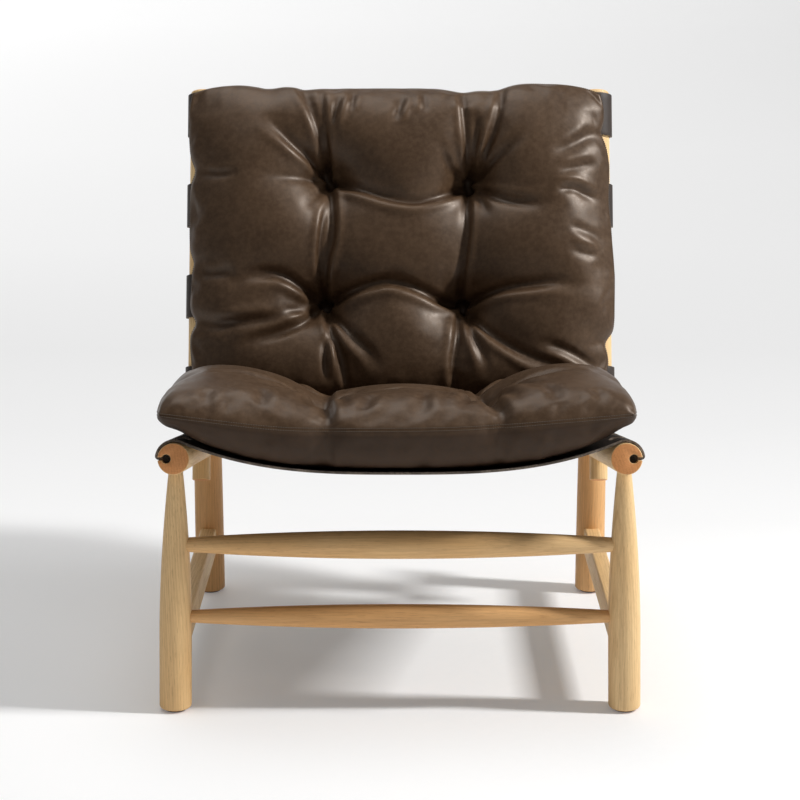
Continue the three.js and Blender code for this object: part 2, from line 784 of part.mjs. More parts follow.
// The origin lies on the floor under the middle of the chair's bounding box.
chair.updateMatrixWorld(true);
const bounds = new THREE.Box3().setFromObject(chair, true);
chair.position.y = -(bounds.min.y + bounds.max.y) / 2;

export default chair;
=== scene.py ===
import json
import math

import bmesh
import bpy
import numpy as np
from bpy.props import FloatProperty, FloatVectorProperty, IntProperty, PointerProperty
from bpy.types import Operator, Panel, PropertyGroup
from mathutils import Matrix, Vector, noise


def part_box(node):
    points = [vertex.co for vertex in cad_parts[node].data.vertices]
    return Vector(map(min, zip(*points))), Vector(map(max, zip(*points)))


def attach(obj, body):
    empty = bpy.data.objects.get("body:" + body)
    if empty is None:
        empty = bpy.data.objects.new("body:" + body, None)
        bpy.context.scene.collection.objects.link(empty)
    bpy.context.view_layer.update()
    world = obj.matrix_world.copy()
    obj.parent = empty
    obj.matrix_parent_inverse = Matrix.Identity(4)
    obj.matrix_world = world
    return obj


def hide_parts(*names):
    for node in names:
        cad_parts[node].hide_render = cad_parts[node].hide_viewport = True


bl_info = {
    "name": "Sling Lounge Chair",
    "version": (1, 0, 0),
    "blender": (4, 5, 0),
    "location": "View3D > Sidebar > Lounge Chair",
    "description": "A low lounge chair of turned oak, leather slings and loose tufted leather cushions",
    "category": "Add Mesh",
}

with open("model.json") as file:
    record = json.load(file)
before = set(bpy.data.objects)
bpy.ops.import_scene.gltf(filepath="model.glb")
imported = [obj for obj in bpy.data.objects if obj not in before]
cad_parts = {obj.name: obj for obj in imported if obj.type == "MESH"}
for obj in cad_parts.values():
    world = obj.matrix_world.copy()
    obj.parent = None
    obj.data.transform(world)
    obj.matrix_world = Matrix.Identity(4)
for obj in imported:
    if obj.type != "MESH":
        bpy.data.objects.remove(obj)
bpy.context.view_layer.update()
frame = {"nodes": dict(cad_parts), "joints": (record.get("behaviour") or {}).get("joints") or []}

SIDES = {"right": 1, "left": -1}

# Places that the frame gives


def joint_axis(name):
    found = [joint for joint in frame["joints"] if joint["name"] == name]
    return Vector(found[0]["axis"]).normalized()


def turned_place(along):
    """Axes of a plane across the chair: X to the side, Y along the timbers and Z out of the plane."""
    side = Vector((1, 0, 0))
    return Matrix((side, along, side.cross(along))).transposed().to_4x4()


def extent(node, place):
    """The lowest and the highest corner of a CAD node along the axes of a place."""
    inverse = place.inverted()
    corners = np.array([inverse @ vertex.co for vertex in frame["nodes"][node].data.vertices])
    return Vector(corners.min(0)), Vector(corners.max(0))


def timber_place(node, along):
    """Axes of a pair of timbers, with the origin between their lower or front ends, on their own axes' plane."""
    place = turned_place(along)
    low, high = extent(node, place)
    return Matrix.Translation(place @ Vector((0, low.y, (low.z + high.z) / 2))) @ place


seat_place = timber_place("seat_rail_right", -joint_axis("seat_cushion_lift_off"))
back_place = timber_place("back_post_right", joint_axis("back_cushion_lift_off"))
rail_low, rail_high = extent("seat_rail_right", seat_place)
post_low, post_high = extent("back_post_right", back_place)
RAIL_X = (rail_low.x + rail_high.x) / 2
RAIL_RADIUS = (rail_high.x - rail_low.x) / 2
RAIL_LENGTH = rail_high.y
POST_RADIUS = (post_high.x - post_low.x) / 2
POST_LENGTH = post_high.y
ROD_ROUNDING = 0.0006  # of the ends of pins and rods


# Settings


def length_field(name, description, default):
    return FloatProperty(name=name, description=description, default=default, unit="LENGTH")


def color_field(name, description, default):
    return FloatVectorProperty(name=name, description=description, default=default, subtype="COLOR")


class TimberSettings(PropertyGroup):
    """Sizes and finish of the turned oak."""

    sides: IntProperty(name="Sides", description="Faces round a timber", default=72, min=16)
    edge_rounding: length_field("Edge rounding", "Rounding of sawn ends", 0.0016)
    foot_rounding: length_field("Foot rounding", "Rounding under a leg", 0.0045)
    leg_top_radius: length_field("Leg top radius", "Front leg's radius at the rail's axis", 0.010)
    leg_taper_start: length_field("Leg taper start", "Height where a front leg draws in", 0.12)
    rear_top_radius: length_field("Rear leg top radius", "Rear leg's radius at the rail's axis", 0.022)
    rear_taper_start: length_field("Rear taper start", "Height where a rear leg draws in", 0.06)
    taper_power: FloatProperty(
        name="Taper power", description="Of the share of the way up, for how far a leg draws in", default=1.7
    )
    groove_offset: length_field("Groove offset", "Groove's hole off the timber's axis", 0.01)
    groove_radius: length_field("Groove radius", "Radius of the groove's hole", 0.0064)
    slot_height: length_field("Slot height", "Height of the groove's slot", 0.0048)
    post_tenon_radius: length_field("Post tenon radius", "Radius of a post's lower end", 0.014)
    post_shoulder_start: length_field("Shoulder start", "Where a post begins to swell", 0.083)
    post_shoulder_end: length_field("Shoulder end", "Where a post is at full thickness", 0.106)
    post_top_rounding: length_field("Post top rounding", "Rounding of a post's top", 0.005)
    board_rounding: length_field("Board rounding", "Rounding of a side board's edges", 0.004)
    light_color: color_field("Light wood", "Early wood", (0.94, 0.69, 0.365))
    middle_color: color_field("Middle wood", "Body of the wood", (0.85, 0.555, 0.25))
    dark_color: color_field("Dark wood", "Late wood and pores", (0.38, 0.19, 0.075))
    ring_spacing: length_field("Ring spacing", "Between two year rings", 0.0042)


class SlingSettings(PropertyGroup):
    """Sizes and finish of the slings."""

    thickness: length_field("Thickness", "Of the leather", 0.0036)
    wrap_gap: length_field("Wrap gap", "Between leather and timber", 0.001)
    elbow_radius: length_field("Elbow radius", "Of the bend into the slot", 0.0034)
    bead_radius: length_field("Bead radius", "Of the sleeve round the rod", 0.0058)
    tab_width: length_field("Tab width", "Along the timber", 0.068)
    tab_count: IntProperty(name="Tabs", description="On each side of a sling", default=4, min=2)
    notch_inset: length_field("Notch inset", "From the timber's axis inwards", 0.015)
    notch_rounding: length_field("Notch rounding", "Of a notch's inner corners", 0.010)
    seat_drop: length_field("Seat drop", "Of the seat's middle below the rails", 0.0204)
    seat_slope: FloatProperty(
        name="Seat slope", description="Where it leaves the rail", default=math.radians(23), unit="ROTATION"
    )
    back_standoff: length_field("Back standoff", "Of the back's middle off the posts", 0.015)
    back_slope: FloatProperty(
        name="Back slope", description="Where it leaves the post", default=math.radians(7), unit="ROTATION"
    )
    edge_rounding: length_field("Edge rounding", "Of the cut edges", 0.0007)
    color: color_field("Leather", "Grain side", (0.030, 0.020, 0.015))
    edge_color: color_field("Cut edge", "Raw edge", (0.36, 0.29, 0.225))


class CushionSettings(PropertyGroup):
    """Sizes and finish of the cushions."""

    columns: IntProperty(name="Columns", description="Faces across a cover", default=128, min=24)
    rows: IntProperty(name="Rows", description="Faces along a cover", default=96, min=20)
    tuft_radius: length_field("Tuft radius", "How far a tuft draws the cover in", 0.019)
    side_pinch: length_field("Side pinch", "How far a valley draws the seam in", 0.009)
    gather_depth: length_field("Gathers", "Depth of the puckers along the seam", 0.0014)
    seam_groove: length_field("Seam groove", "How far the seam lies in", 0.0012)
    rest_gap: length_field("Rest gap", "Between cushion and sling", 0.0008)
    seat_tuft_depth: length_field("Seat tuft depth", "Of the seat's tufts", 0.034)
    back_tuft_depth: length_field("Back tuft depth", "Of the back's tufts", 0.026)
    stitch_length: length_field("Stitch length", "Of one stitch", 0.0034)
    stitch_offset: length_field("Stitch offset", "Of a stitch row from the seam", 0.0021)
    thread_radius: length_field("Thread radius", "Of the sewing thread", 0.0005)
    dark_color: color_field("Dark leather", "In the folds", (0.046, 0.0235, 0.0105))
    light_color: color_field("Light leather", "Rubbed and stretched parts", (0.115, 0.067, 0.036))
    thread_color: color_field("Thread", "Sewing thread", (0.085, 0.062, 0.044))


class StageSettings(PropertyGroup):
    """Camera, lamps and backdrop."""

    camera_distance: length_field("Camera distance", "In front of the origin", 3.5644)
    camera_height: length_field("Camera height", "Above the floor", 1.35)
    camera_pitch: FloatProperty(
        name="Camera pitch", description="Below the horizon", default=math.radians(15.34), unit="ROTATION"
    )
    focal_length: FloatProperty(
        name="Focal length", description="In millimetres on a 36 mm sensor", default=110.4
    )
    key_power: FloatProperty(name="Key light", description="In watts", default=650.0)
    over_power: FloatProperty(name="Overhead light", description="In watts", default=32.0)
    world_strength: FloatProperty(name="World", description="Strength of the even light", default=0.19)


# Meshes


def link_piece(name, mesh, place, body="frame", nodes=(), material=None):
    piece = bpy.data.objects.new(name, mesh)
    bpy.context.scene.collection.objects.link(piece)
    piece.matrix_world = place
    if material is not None:
        mesh.materials.clear()
        mesh.materials.append(material)
    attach(piece, body)
    if nodes:
        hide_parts(*nodes)
    return piece


def new_mesh(name, vertices, faces):
    mesh = bpy.data.meshes.new(name)
    mesh.from_pydata(vertices, [], faces)
    return mesh


def solid_mesh(name, vertices, faces):
    """A closed mesh whose faces all look outwards."""
    mesh = new_mesh(name, vertices, faces)
    work = bmesh.new()
    work.from_mesh(mesh)
    bmesh.ops.recalc_face_normals(work, faces=work.faces)
    work.to_mesh(mesh)
    work.free()
    return mesh


def shade_smooth(mesh):
    mesh.polygons.foreach_set("use_smooth", [True] * len(mesh.polygons))


def smooth_mesh(mesh, sharp_angle=35):
    shade_smooth(mesh)
    mesh.set_sharp_from_angle(angle=math.radians(sharp_angle))
    return mesh


def tube_faces(levels, count, base=0):
    """Faces round a stack of closed rings whose points start at a base, with both ends closed."""
    faces = []
    for level in range(levels - 1):
        for k in range(count):
            a = base + level * count + k
            b = base + level * count + (k + 1) % count
            faces.append((a, b, b + count, a + count))
    last = base + (levels - 1) * count
    faces.append(tuple(reversed(range(base, base + count))))
    faces.append(tuple(range(last, last + count)))
    return faces


def loft(name, rings, side=1):
    """A closed mesh through rings of equally many points. A side of -1 gives its mirror image."""
    vertices = [(side * x, y, z) for ring in rings for x, y, z in ring]
    faces = tube_faces(len(rings), len(rings[0]))
    if side < 0:
        faces = [tuple(reversed(face)) for face in faces]
    return smooth_mesh(new_mesh(name, vertices, faces))


def circle_ring(radius, height, sides):
    """A ring of points round the Z axis. The height may follow the angle."""
    points = []
    for k in range(sides):
        angle = 2 * math.pi * k / sides
        x, y = radius * math.cos(angle), radius * math.sin(angle)
        points.append((x, y, height(x, y) if callable(height) else height))
    return points


def rounded_profile(radius, rounding, height, direction, steps=5):
    """Pairs of radius and height that round an end off. The direction is 1 for a top and -1 for a bottom."""
    pairs = []
    for step in range(steps + 1):
        angle = math.pi / 2 * step / steps
        inset = rounding * (1 - math.sin(angle))
        drop = rounding * (1 - math.cos(angle))
        pairs.append((radius - inset, height - direction * drop))
    return pairs if direction < 0 else list(reversed(pairs))


def turned_rings(pairs, sides):
    return [circle_ring(radius, height, sides) for radius, height in pairs]


def applied_mesh(piece):
    """The mesh of a piece after its modifiers, which are then removed."""
    graph = bpy.context.evaluated_depsgraph_get()
    mesh = bpy.data.meshes.new_from_object(piece.evaluated_get(graph))
    piece.modifiers.clear()
    piece.data = mesh
    return mesh


# Materials


def shader_node(tree, kind, inputs=None, **settings):
    made = tree.nodes.new(kind)
    for name, value in settings.items():
        setattr(made, name, value)
    for key, value in (inputs or {}).items():
        if isinstance(value, bpy.types.NodeSocket):
            tree.links.new(value, made.inputs[key])
        else:
            made.inputs[key].default_value = value
    return made


def new_material(name):
    material = bpy.data.materials.new(name)
    material.use_nodes = True
    return material, material.node_tree, material.node_tree.nodes["Principled BSDF"]


def ramp(tree, factor, stops):
    """Gray from pairs of a place on the ramp and its value."""
    made = shader_node(tree, "ShaderNodeValToRGB", {"Fac": factor})
    elements = made.color_ramp.elements
    while len(elements) < len(stops):
        elements.new(0.5)
    for element, (position, value) in zip(elements, stops):
        element.position = position
        element.color = (value, value, value, 1)
    return made.outputs["Color"]


def mixed(tree, factor, a, b, blend="MIX"):
    made = shader_node(tree, "ShaderNodeMix", data_type="RGBA", blend_type=blend)
    for index, value in ((0, factor), (6, a), (7, b)):
        if isinstance(value, bpy.types.NodeSocket):
            tree.links.new(value, made.inputs[index])
        elif index == 0:
            made.inputs[index].default_value = value
        else:
            made.inputs[index].default_value = (*value, 1)
    return made.outputs[2]


def math_node(tree, operation, a, b=0.0, c=0.0):
    return shader_node(tree, "ShaderNodeMath", {0: a, 1: b, 2: c}, operation=operation).outputs[0]


def scaled_vector(tree, vector, scale):
    return shader_node(tree, "ShaderNodeMapping", {"Vector": vector, "Scale": scale}).outputs["Vector"]


def vector_node(tree, operation, a, b):
    return shader_node(tree, "ShaderNodeVectorMath", {0: a, 1: b}, operation=operation).outputs[0]


def object_place(tree):
    return shader_node(tree, "ShaderNodeTexCoord").outputs["Object"]


def bumped(tree, height, strength, distance):
    inputs = {"Strength": strength, "Distance": distance, "Height": height}
    return shader_node(tree, "ShaderNodeBump", inputs).outputs["Normal"]


def set_surface(tree, principled, color, roughness, normal):
    """Color, roughness and relief of a finish. The roughness may be a number."""
    tree.links.new(color, principled.inputs["Base Color"])
    tree.links.new(normal, principled.inputs["Normal"])
    if isinstance(roughness, bpy.types.NodeSocket):
        tree.links.new(roughness, principled.inputs["Roughness"])
    else:
        principled.inputs["Roughness"].default_value = roughness


def noise_value(tree, vector, scale, detail=2.0, roughness=0.5):
    inputs = {"Vector": vector, "Scale": scale, "Detail": detail, "Roughness": roughness}
    return shader_node(tree, "ShaderNodeTexNoise", inputs).outputs["Fac"]


def oak_material(settings):
    """Pale oiled oak. Year rings are cut from a trunk that runs beside each timber's own Z axis."""
    material, tree, principled = new_material("pale_oak")
    coordinates = shader_node(tree, "ShaderNodeTexCoord")
    seed = shader_node(tree, "ShaderNodeAttribute", attribute_type="OBJECT", attribute_name="grain_seed")
    local = vector_node(tree, "ADD", coordinates.outputs["Object"], seed.outputs["Vector"])
    slow = scaled_vector(tree, local, (9.0, 9.0, 2.2))
    waver = shader_node(tree, "ShaderNodeTexNoise", {"Vector": slow, "Scale": 1.0, "Detail": 2.0})
    offset = vector_node(tree, "SUBTRACT", waver.outputs["Color"], (0.5, 0.5, 0.5))
    bent = vector_node(tree, "ADD", local, vector_node(tree, "MULTIPLY", offset, (0.030, 0.030, 0.0)))
    split = shader_node(tree, "ShaderNodeSeparateXYZ", {0: bent})
    leaning = math_node(tree, "MULTIPLY_ADD", split.outputs["Z"], 0.035, 0.0)
    off_x = math_node(tree, "ADD", split.outputs["X"], leaning)
    flat = shader_node(tree, "ShaderNodeCombineXYZ", {"X": off_x, "Y": split.outputs["Y"], "Z": 0.0})
    reach = shader_node(tree, "ShaderNodeVectorMath", {0: flat.outputs[0]}, operation="LENGTH").outputs["Value"]
    rings = math_node(tree, "DIVIDE", reach, settings.ring_spacing)
    phase = math_node(tree, "FRACT", rings)
    late_wood = ramp(tree, phase, [(0.0, 0.55), (0.12, 0.1), (0.55, 0.12), (0.9, 0.75), (1.0, 0.55)])
    strong = noise_value(tree, scaled_vector(tree, local, (22.0, 22.0, 3.0)), 1.0)
    ring_strength = ramp(tree, strong, [(0.3, 0.25), (0.7, 1)])
    late_share = math_node(tree, "MULTIPLY", late_wood, ring_strength)
    fibres = noise_value(tree, scaled_vector(tree, bent, (430.0, 430.0, 11.0)), 1.0, 4.0, 0.65)
    fibre_share = ramp(tree, fibres, [(0.38, 0), (0.66, 1)])
    pores = noise_value(tree, scaled_vector(tree, bent, (1100.0, 1100.0, 55.0)), 1.0, 1.0)
    pore_share = ramp(tree, pores, [(0.60, 0), (0.68, 1)])
    pores_in_rings = math_node(tree, "MULTIPLY", pore_share, math_node(tree, "MULTIPLY_ADD", late_share, 0.9, 0.30))
    blotches = noise_value(tree, scaled_vector(tree, local, (14.0, 14.0, 4.0)), 1.0, 2.0)
    ground = mixed(tree, ramp(tree, blotches, [(0.3, 0), (0.7, 1)]), settings.light_color, settings.middle_color)
    ringed = mixed(tree, math_node(tree, "MULTIPLY", late_share, 0.75), ground, settings.middle_color)
    lined = mixed(tree, math_node(tree, "MULTIPLY", late_share, 0.30), ringed, settings.dark_color)
    fibred = mixed(tree, math_node(tree, "MULTIPLY", fibre_share, 0.24), lined, settings.dark_color)
    pored = mixed(tree, math_node(tree, "MULTIPLY", pores_in_rings, 0.60), fibred, settings.dark_color)
    facing = shader_node(tree, "ShaderNodeSeparateXYZ", {0: coordinates.outputs["Normal"]}).outputs["Z"]
    end_share = ramp(tree, math_node(tree, "ABSOLUTE", facing), [(0.75, 0), (0.97, 1)])
    end_grain = mixed(tree, 1.0, pored, (0.86, 0.56, 0.42), "MULTIPLY")
    grained = mixed(tree, end_share, pored, end_grain)
    # Painted shade in part: tone_and_painted_shade reddens and darkens whole pieces, most of all those in shade under
    # the seat.
    tone_and_painted_shade = shader_node(tree, "ShaderNodeAttribute", attribute_type="OBJECT", attribute_name="tone_and_painted_shade").outputs["Fac"]
    color = mixed(tree, tone_and_painted_shade, grained, mixed(tree, 1.0, grained, (0.86, 0.60, 0.41), "MULTIPLY"))
    roughness = math_node(tree, "MULTIPLY_ADD", fibre_share, 0.14, 0.47)
    height = math_node(tree, "MULTIPLY_ADD", pores_in_rings, -1.0, math_node(tree, "MULTIPLY", fibre_share, -0.35))
    set_surface(tree, principled, color, roughness, bumped(tree, height, 0.35, 0.0003))
    principled.inputs["Specular IOR Level"].default_value = 0.38
    return material


def leather_bump(tree, local, grain_scale, strength, distance):
    """Fine pebbled grain over faint creases."""
    inputs = {"Vector": local, "Scale": grain_scale, "Randomness": 1.0}
    cells = shader_node(tree, "ShaderNodeTexVoronoi", inputs, feature="SMOOTH_F1").outputs["Distance"]
    creases = noise_value(tree, local, grain_scale * 0.5, 2.0, 0.6)
    height = math_node(tree, "MULTIPLY_ADD", cells, 0.55, math_node(tree, "MULTIPLY", creases, 0.4))
    return bumped(tree, height, strength, distance)


def cushion_leather_material(settings):
    """Soft dark leather, lighter where it is rubbed or stretched over a fold, with painted shade that darkens the whole
    lower cover.
    """
    material, tree, principled = new_material("soft_brown_leather")
    local = object_place(tree)
    fold = shader_node(tree, "ShaderNodeAttribute", attribute_name="fold").outputs["Fac"]
    under = shader_node(tree, "ShaderNodeAttribute", attribute_name="under").outputs["Fac"]
    clouds = noise_value(tree, local, 13.0, 4.0, 0.6)
    mottle = noise_value(tree, local, 130.0, 5.0, 0.68)
    cloudy = ramp(tree, clouds, [(0.32, 0), (0.72, 1)])
    mottled = ramp(tree, mottle, [(0.40, 0), (0.64, 1)])
    rubbed = math_node(tree, "MULTIPLY_ADD", mottled, 0.32, math_node(tree, "MULTIPLY", cloudy, 0.38))
    stretched = math_node(tree, "ADD", rubbed, math_node(tree, "MULTIPLY", fold, 0.24))
    share = ramp(tree, stretched, [(0.0, 0), (1.0, 1)])
    color = mixed(tree, share, settings.dark_color, settings.light_color)
    specks = noise_value(tree, local, 900.0, 2.0, 0.6)
    speckled = mixed(tree, ramp(tree, specks, [(0.60, 0), (0.72, 0.35)]), color, settings.dark_color)
    # Painted shade: the lower cover, marked by the under attribute, is darkened all over.
    underside_painted_shade = mixed(tree, under, speckled, mixed(tree, 1.0, speckled, (0.46, 0.38, 0.30), "MULTIPLY"))
    roughness = math_node(tree, "MULTIPLY_ADD", mottled, 0.07, math_node(tree, "MULTIPLY_ADD", under, 0.20, 0.41))
    set_surface(tree, principled, underside_painted_shade, roughness, leather_bump(tree, local, 780.0, 0.22, 0.0004))
    principled.inputs["Specular IOR Level"].default_value = 0.50
    principled.inputs["Specular Tint"].default_value = (1.0, 0.86, 0.74, 1)
    return material


def sling_leather_material(settings):
    """Thick smooth saddle leather."""
    material, tree, principled = new_material("saddle_leather")
    local = object_place(tree)
    clouds = noise_value(tree, local, 18.0, 4.0, 0.6)
    dark = tuple(channel * 0.65 for channel in settings.color)
    light = tuple(channel * 1.5 for channel in settings.color)
    color = mixed(tree, ramp(tree, clouds, [(0.3, 0), (0.7, 1)]), dark, light)
    roughness = math_node(tree, "MULTIPLY_ADD", clouds, 0.16, 0.50)
    set_surface(tree, principled, color, roughness, leather_bump(tree, local, 620.0, 0.22, 0.0004))
    return material


def cut_edge_material(settings):
    """The raw fibrous edge of the saddle leather."""
    material, tree, principled = new_material("raw_leather_edge")
    local = object_place(tree)
    fibres = noise_value(tree, local, 520.0, 4.0, 0.7)
    patches = noise_value(tree, local, 45.0, 3.0, 0.6)
    raised = ramp(tree, fibres, [(0.35, 0.2), (0.65, 1)])
    share = math_node(tree, "MULTIPLY", raised, ramp(tree, patches, [(0.35, 0.35), (0.65, 1)]))
    color = mixed(tree, share, settings.color, settings.edge_color)
    set_surface(tree, principled, color, 0.8, bumped(tree, fibres, 0.8, 0.0006))
    return material


def plain_material(name, color, roughness, grain_scale, bump_distance):
    """A moulded finish with a fine texture."""
    material, tree, principled = new_material(name)
    grain = noise_value(tree, object_place(tree), grain_scale, 3.0, 0.6)
    grained = mixed(tree, grain, color, tuple(channel * 1.5 for channel in color))
    uneven = math_node(tree, "MULTIPLY_ADD", grain, 0.15, roughness)
    set_surface(tree, principled, grained, uneven, bumped(tree, grain, 0.3, bump_distance))
    return material


def finish(name, maker, *arguments):
    """The material of that name, made once."""
    return bpy.data.materials.get(name) or maker(*arguments)


def oak():
    return finish("pale_oak", oak_material, bpy.context.scene.chair_timber)


def sling_leather():
    return finish("saddle_leather", sling_leather_material, bpy.context.scene.chair_sling)


def cut_edge():
    return finish("raw_leather_edge", cut_edge_material, bpy.context.scene.chair_sling)


def cushion_leather():
    return finish("soft_brown_leather", cushion_leather_material, bpy.context.scene.chair_cushion)


def thread():
    color = tuple(bpy.context.scene.chair_cushion.thread_color)
    return finish("sewing_thread", plain_material, "sewing_thread", color, 0.55, 4000.0, 0.0001)


def black_rod():
    return finish("black_rod", plain_material, "black_rod", (0.012, 0.011, 0.010), 0.45, 900.0, 0.0001)


def dark_glide():
    return finish("dark_glide", plain_material, "dark_glide", (0.045, 0.045, 0.048), 0.6, 1500.0, 0.0002)


def timber(node, rings, place, seed, side=1, tone_and_painted_shade=0.0):
    """One turned or sawn piece of oak that takes the place of its CAD node. A tone_and_painted_shade of 1 gives the
    reddest, darkest wood: partly the boards' own colour, partly painted shade on the pieces that stand in shade.
    """
    piece = link_piece(f"oak_{node}", loft(node, rings, side), place, "frame", [node], oak())
    piece["grain_seed"] = seed
    piece["tone_and_painted_shade"] = tone_and_painted_shade
    return piece


# Legs


def saddle_height(axis_height, slope, rail_offset):
    """Height of the rail's underside over a point of the leg's own plane, a touch inside the wood."""
    embed = 0.0008

    def height(x, y):
        across = min(abs(x - rail_offset), RAIL_RADIUS * 0.98)
        drop = math.sqrt(RAIL_RADIUS**2 - across**2) / math.cos(slope)
        return axis_height - math.tan(slope) * y - drop + embed

    return height


def leg_rings(radius, top_radius, taper_start, axis_height, foot_height, rail_offset, splay, settings):
    """Rings from the rounded foot up to the saddle that fits the rail."""
    pairs = rounded_profile(radius, settings.foot_rounding, foot_height, -1)
    rings = turned_rings(pairs, settings.sides)
    saddle = saddle_height(axis_height, rail_slope(), rail_offset)
    steps = 36
    for step in range(steps + 1):
        share = step / steps
        drawn = radius + (top_radius - radius) * share**settings.taper_power
        rings.append(circle_ring(
            drawn, lambda x, y: taper_start + (saddle(x, y) - taper_start) * share, settings.sides
        ))
    return [[(x - splay * z, y, z) for x, y, z in ring] for ring in rings]


def rail_slope():
    along = seat_place.col[1]
    return math.atan2(-along.z, along.y)


def rail_axis_height(y):
    """Height of the rails' axes over a point of the floor."""
    start = seat_place.translation
    return start.z - math.tan(rail_slope()) * (y - start.y)


def foot_place(glide):
    low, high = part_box(glide)
    return Vector(((low.x + high.x) / 2, (low.y + high.y) / 2, 0)), (high.x - low.x) / 2


class CHAIR_OT_front_legs(Operator):
    """Make the two front legs, thick below and drawn in towards the rail."""

    bl_idname = "chair.front_legs"
    bl_label = "Front Legs"

    def execute(self, context):
        settings = context.scene.chair_timber
        for index, (name, side) in enumerate(SIDES.items()):
            low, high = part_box(f"front_leg_{name}")
            centre, _ = foot_place(f"front_glide_{name}")
            axis_height = rail_axis_height(centre.y)
            splay = (abs(centre.x) - RAIL_X) / axis_height
            rings = leg_rings(
                (high.y - low.y) / 2, settings.leg_top_radius, settings.leg_taper_start,
                axis_height, low.z, 0.0, splay, settings,
            )
            seed = (0.041 + 0.013 * index, 0.037 - 0.03 * index, 0.6 * index)
            timber(f"front_leg_{name}", rings, Matrix.Translation(centre), seed, side, tone_and_painted_shade=0.05)
        return {"FINISHED"}


class CHAIR_OT_rear_legs(Operator):
    """Make the two upright rear legs."""

    bl_idname = "chair.rear_legs"
    bl_label = "Rear Legs"

    def execute(self, context):
        settings = context.scene.chair_timber
        for index, (name, side) in enumerate(SIDES.items()):
            low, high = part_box(f"rear_leg_{name}")
            centre, _ = foot_place(f"rear_glide_{name}")
            rings = leg_rings(
                (high.y - low.y) / 2, settings.rear_top_radius, settings.rear_taper_start,
                rail_axis_height(centre.y), low.z, RAIL_X - abs(centre.x), 0.0, settings,
            )
            seed = (-0.052 + 0.02 * index, 0.031, 1.7 + 0.9 * index)
            # Painted shade in part: the rear legs stand in the seat's shadow and get redder, darker wood.
            timber(f"rear_leg_{name}", rings, Matrix.Translation(centre), seed, side, tone_and_painted_shade=0.55)
        return {"FINISHED"}


# Grooved timbers


def keyhole_ring(radius, widening, depth_share, height, settings):
    """A round section with a keyhole groove on its +X side. A depth share of 0 leaves the section whole."""
    hole = settings.groove_radius + widening
    half_slot = settings.slot_height / 2 + widening
    lip = math.asin(half_slot / radius)
    mouth = math.asin(half_slot / hole)
    outer = [lip + (2 * math.pi - 2 * lip) * k / settings.sides for k in range(settings.sides + 1)]
    points = [(radius * math.cos(angle), radius * math.sin(angle)) for angle in outer]
    wall_steps, hole_steps = 4, 22
    inner = settings.groove_offset + hole * math.cos(mouth)
    start = radius * math.cos(lip)
    groove = [(start + (inner - start) * k / wall_steps, -half_slot) for k in range(1, wall_steps)]
    for k in range(hole_steps + 1):
        angle = -mouth - (2 * math.pi - 2 * mouth) * k / hole_steps
        groove.append((settings.groove_offset + hole * math.cos(angle), hole * math.sin(angle)))
    groove += [(inner + (start - inner) * k / wall_steps, half_slot) for k in range(1, wall_steps)]
    for k, (x, y) in enumerate(groove):
        angle = -lip + 2 * lip * (k + 1) / (len(groove) + 1)
        whole_x, whole_y = radius * math.cos(angle), radius * math.sin(angle)
        points.append((whole_x + (x - whole_x) * depth_share, whole_y + (y - whole_y) * depth_share))
    return [(x, y, height) for x, y in points]


def timber_axes(place, x, side):
    """Axes of a timber that lies along a place's Y: Z along the timber and X away from the chair's middle."""
    across = Vector((1, 0, 0))
    along = place.col[1].to_3d()
    turned = Matrix((across, along.cross(across), along)).transposed().to_4x4()
    return Matrix.Translation(place @ Vector((side * x, 0, 0))) @ turned


class CHAIR_OT_seat_rails(Operator):
    """Make the two seat rails with the keyhole groove that holds the seat sling."""

    bl_idname = "chair.seat_rails"
    bl_label = "Seat Rails"

    def execute(self, context):
        settings = context.scene.chair_timber
        rounding = settings.edge_rounding
        steps = 4
        ends = []
        for step in range(steps + 1):
            angle = math.pi / 2 * step / steps
            ends.append((rounding * (1 - math.sin(angle)), rounding * (1 - math.cos(angle))))
        levels = ends + [(inset, RAIL_LENGTH - drop) for inset, drop in reversed(ends)]
        rings = [
            keyhole_ring(RAIL_RADIUS - inset, inset * 0.4, 1.0, height, settings) for inset, height in levels
        ]
        for index, (name, side) in enumerate(SIDES.items()):
            place = timber_axes(seat_place, RAIL_X, side)
            seed = (0.030 - 0.055 * index, -0.034, 3.1 + 0.7 * index)
            timber(f"seat_rail_{name}", rings, place, seed, side)
        return {"FINISHED"}


class CHAIR_OT_back_posts(Operator):
    """Make the two back posts, each with a thinner end that passes through the rail."""

    bl_idname = "chair.back_posts"
    bl_label = "Back Posts"

    def execute(self, context):
        settings = context.scene.chair_timber
        tenon = settings.post_tenon_radius
        pairs = rounded_profile(tenon, settings.edge_rounding, 0.0, -1)
        pairs += [(tenon, settings.post_shoulder_start)]
        for step in range(1, 9):
            share = step / 8
            swell = share * share * (3 - 2 * share) * 0.6 + share * 0.4
            height = settings.post_shoulder_start
            height += (settings.post_shoulder_end - settings.post_shoulder_start) * share
            pairs.append((tenon + (POST_RADIUS - tenon) * swell, height))
        rings = [keyhole_ring(radius, 0.0, 0.0, height, settings) for radius, height in pairs]
        groove_start = settings.post_shoulder_end + 0.0002
        rings.append(keyhole_ring(POST_RADIUS, 0.0, 1.0, groove_start, settings))
        top = rounded_profile(POST_RADIUS, settings.post_top_rounding, POST_LENGTH, 1, 7)
        rings += [keyhole_ring(radius, 0.0, 1.0, height, settings) for radius, height in top]
        for index, (name, side) in enumerate(SIDES.items()):
            place = timber_axes(back_place, RAIL_X, side)
            seed = (-0.03 + 0.07 * index, 0.045, 4.4 + 0.8 * index)
            timber(f"back_post_{name}", rings, place, seed, side)
        return {"FINISHED"}


# Cross members


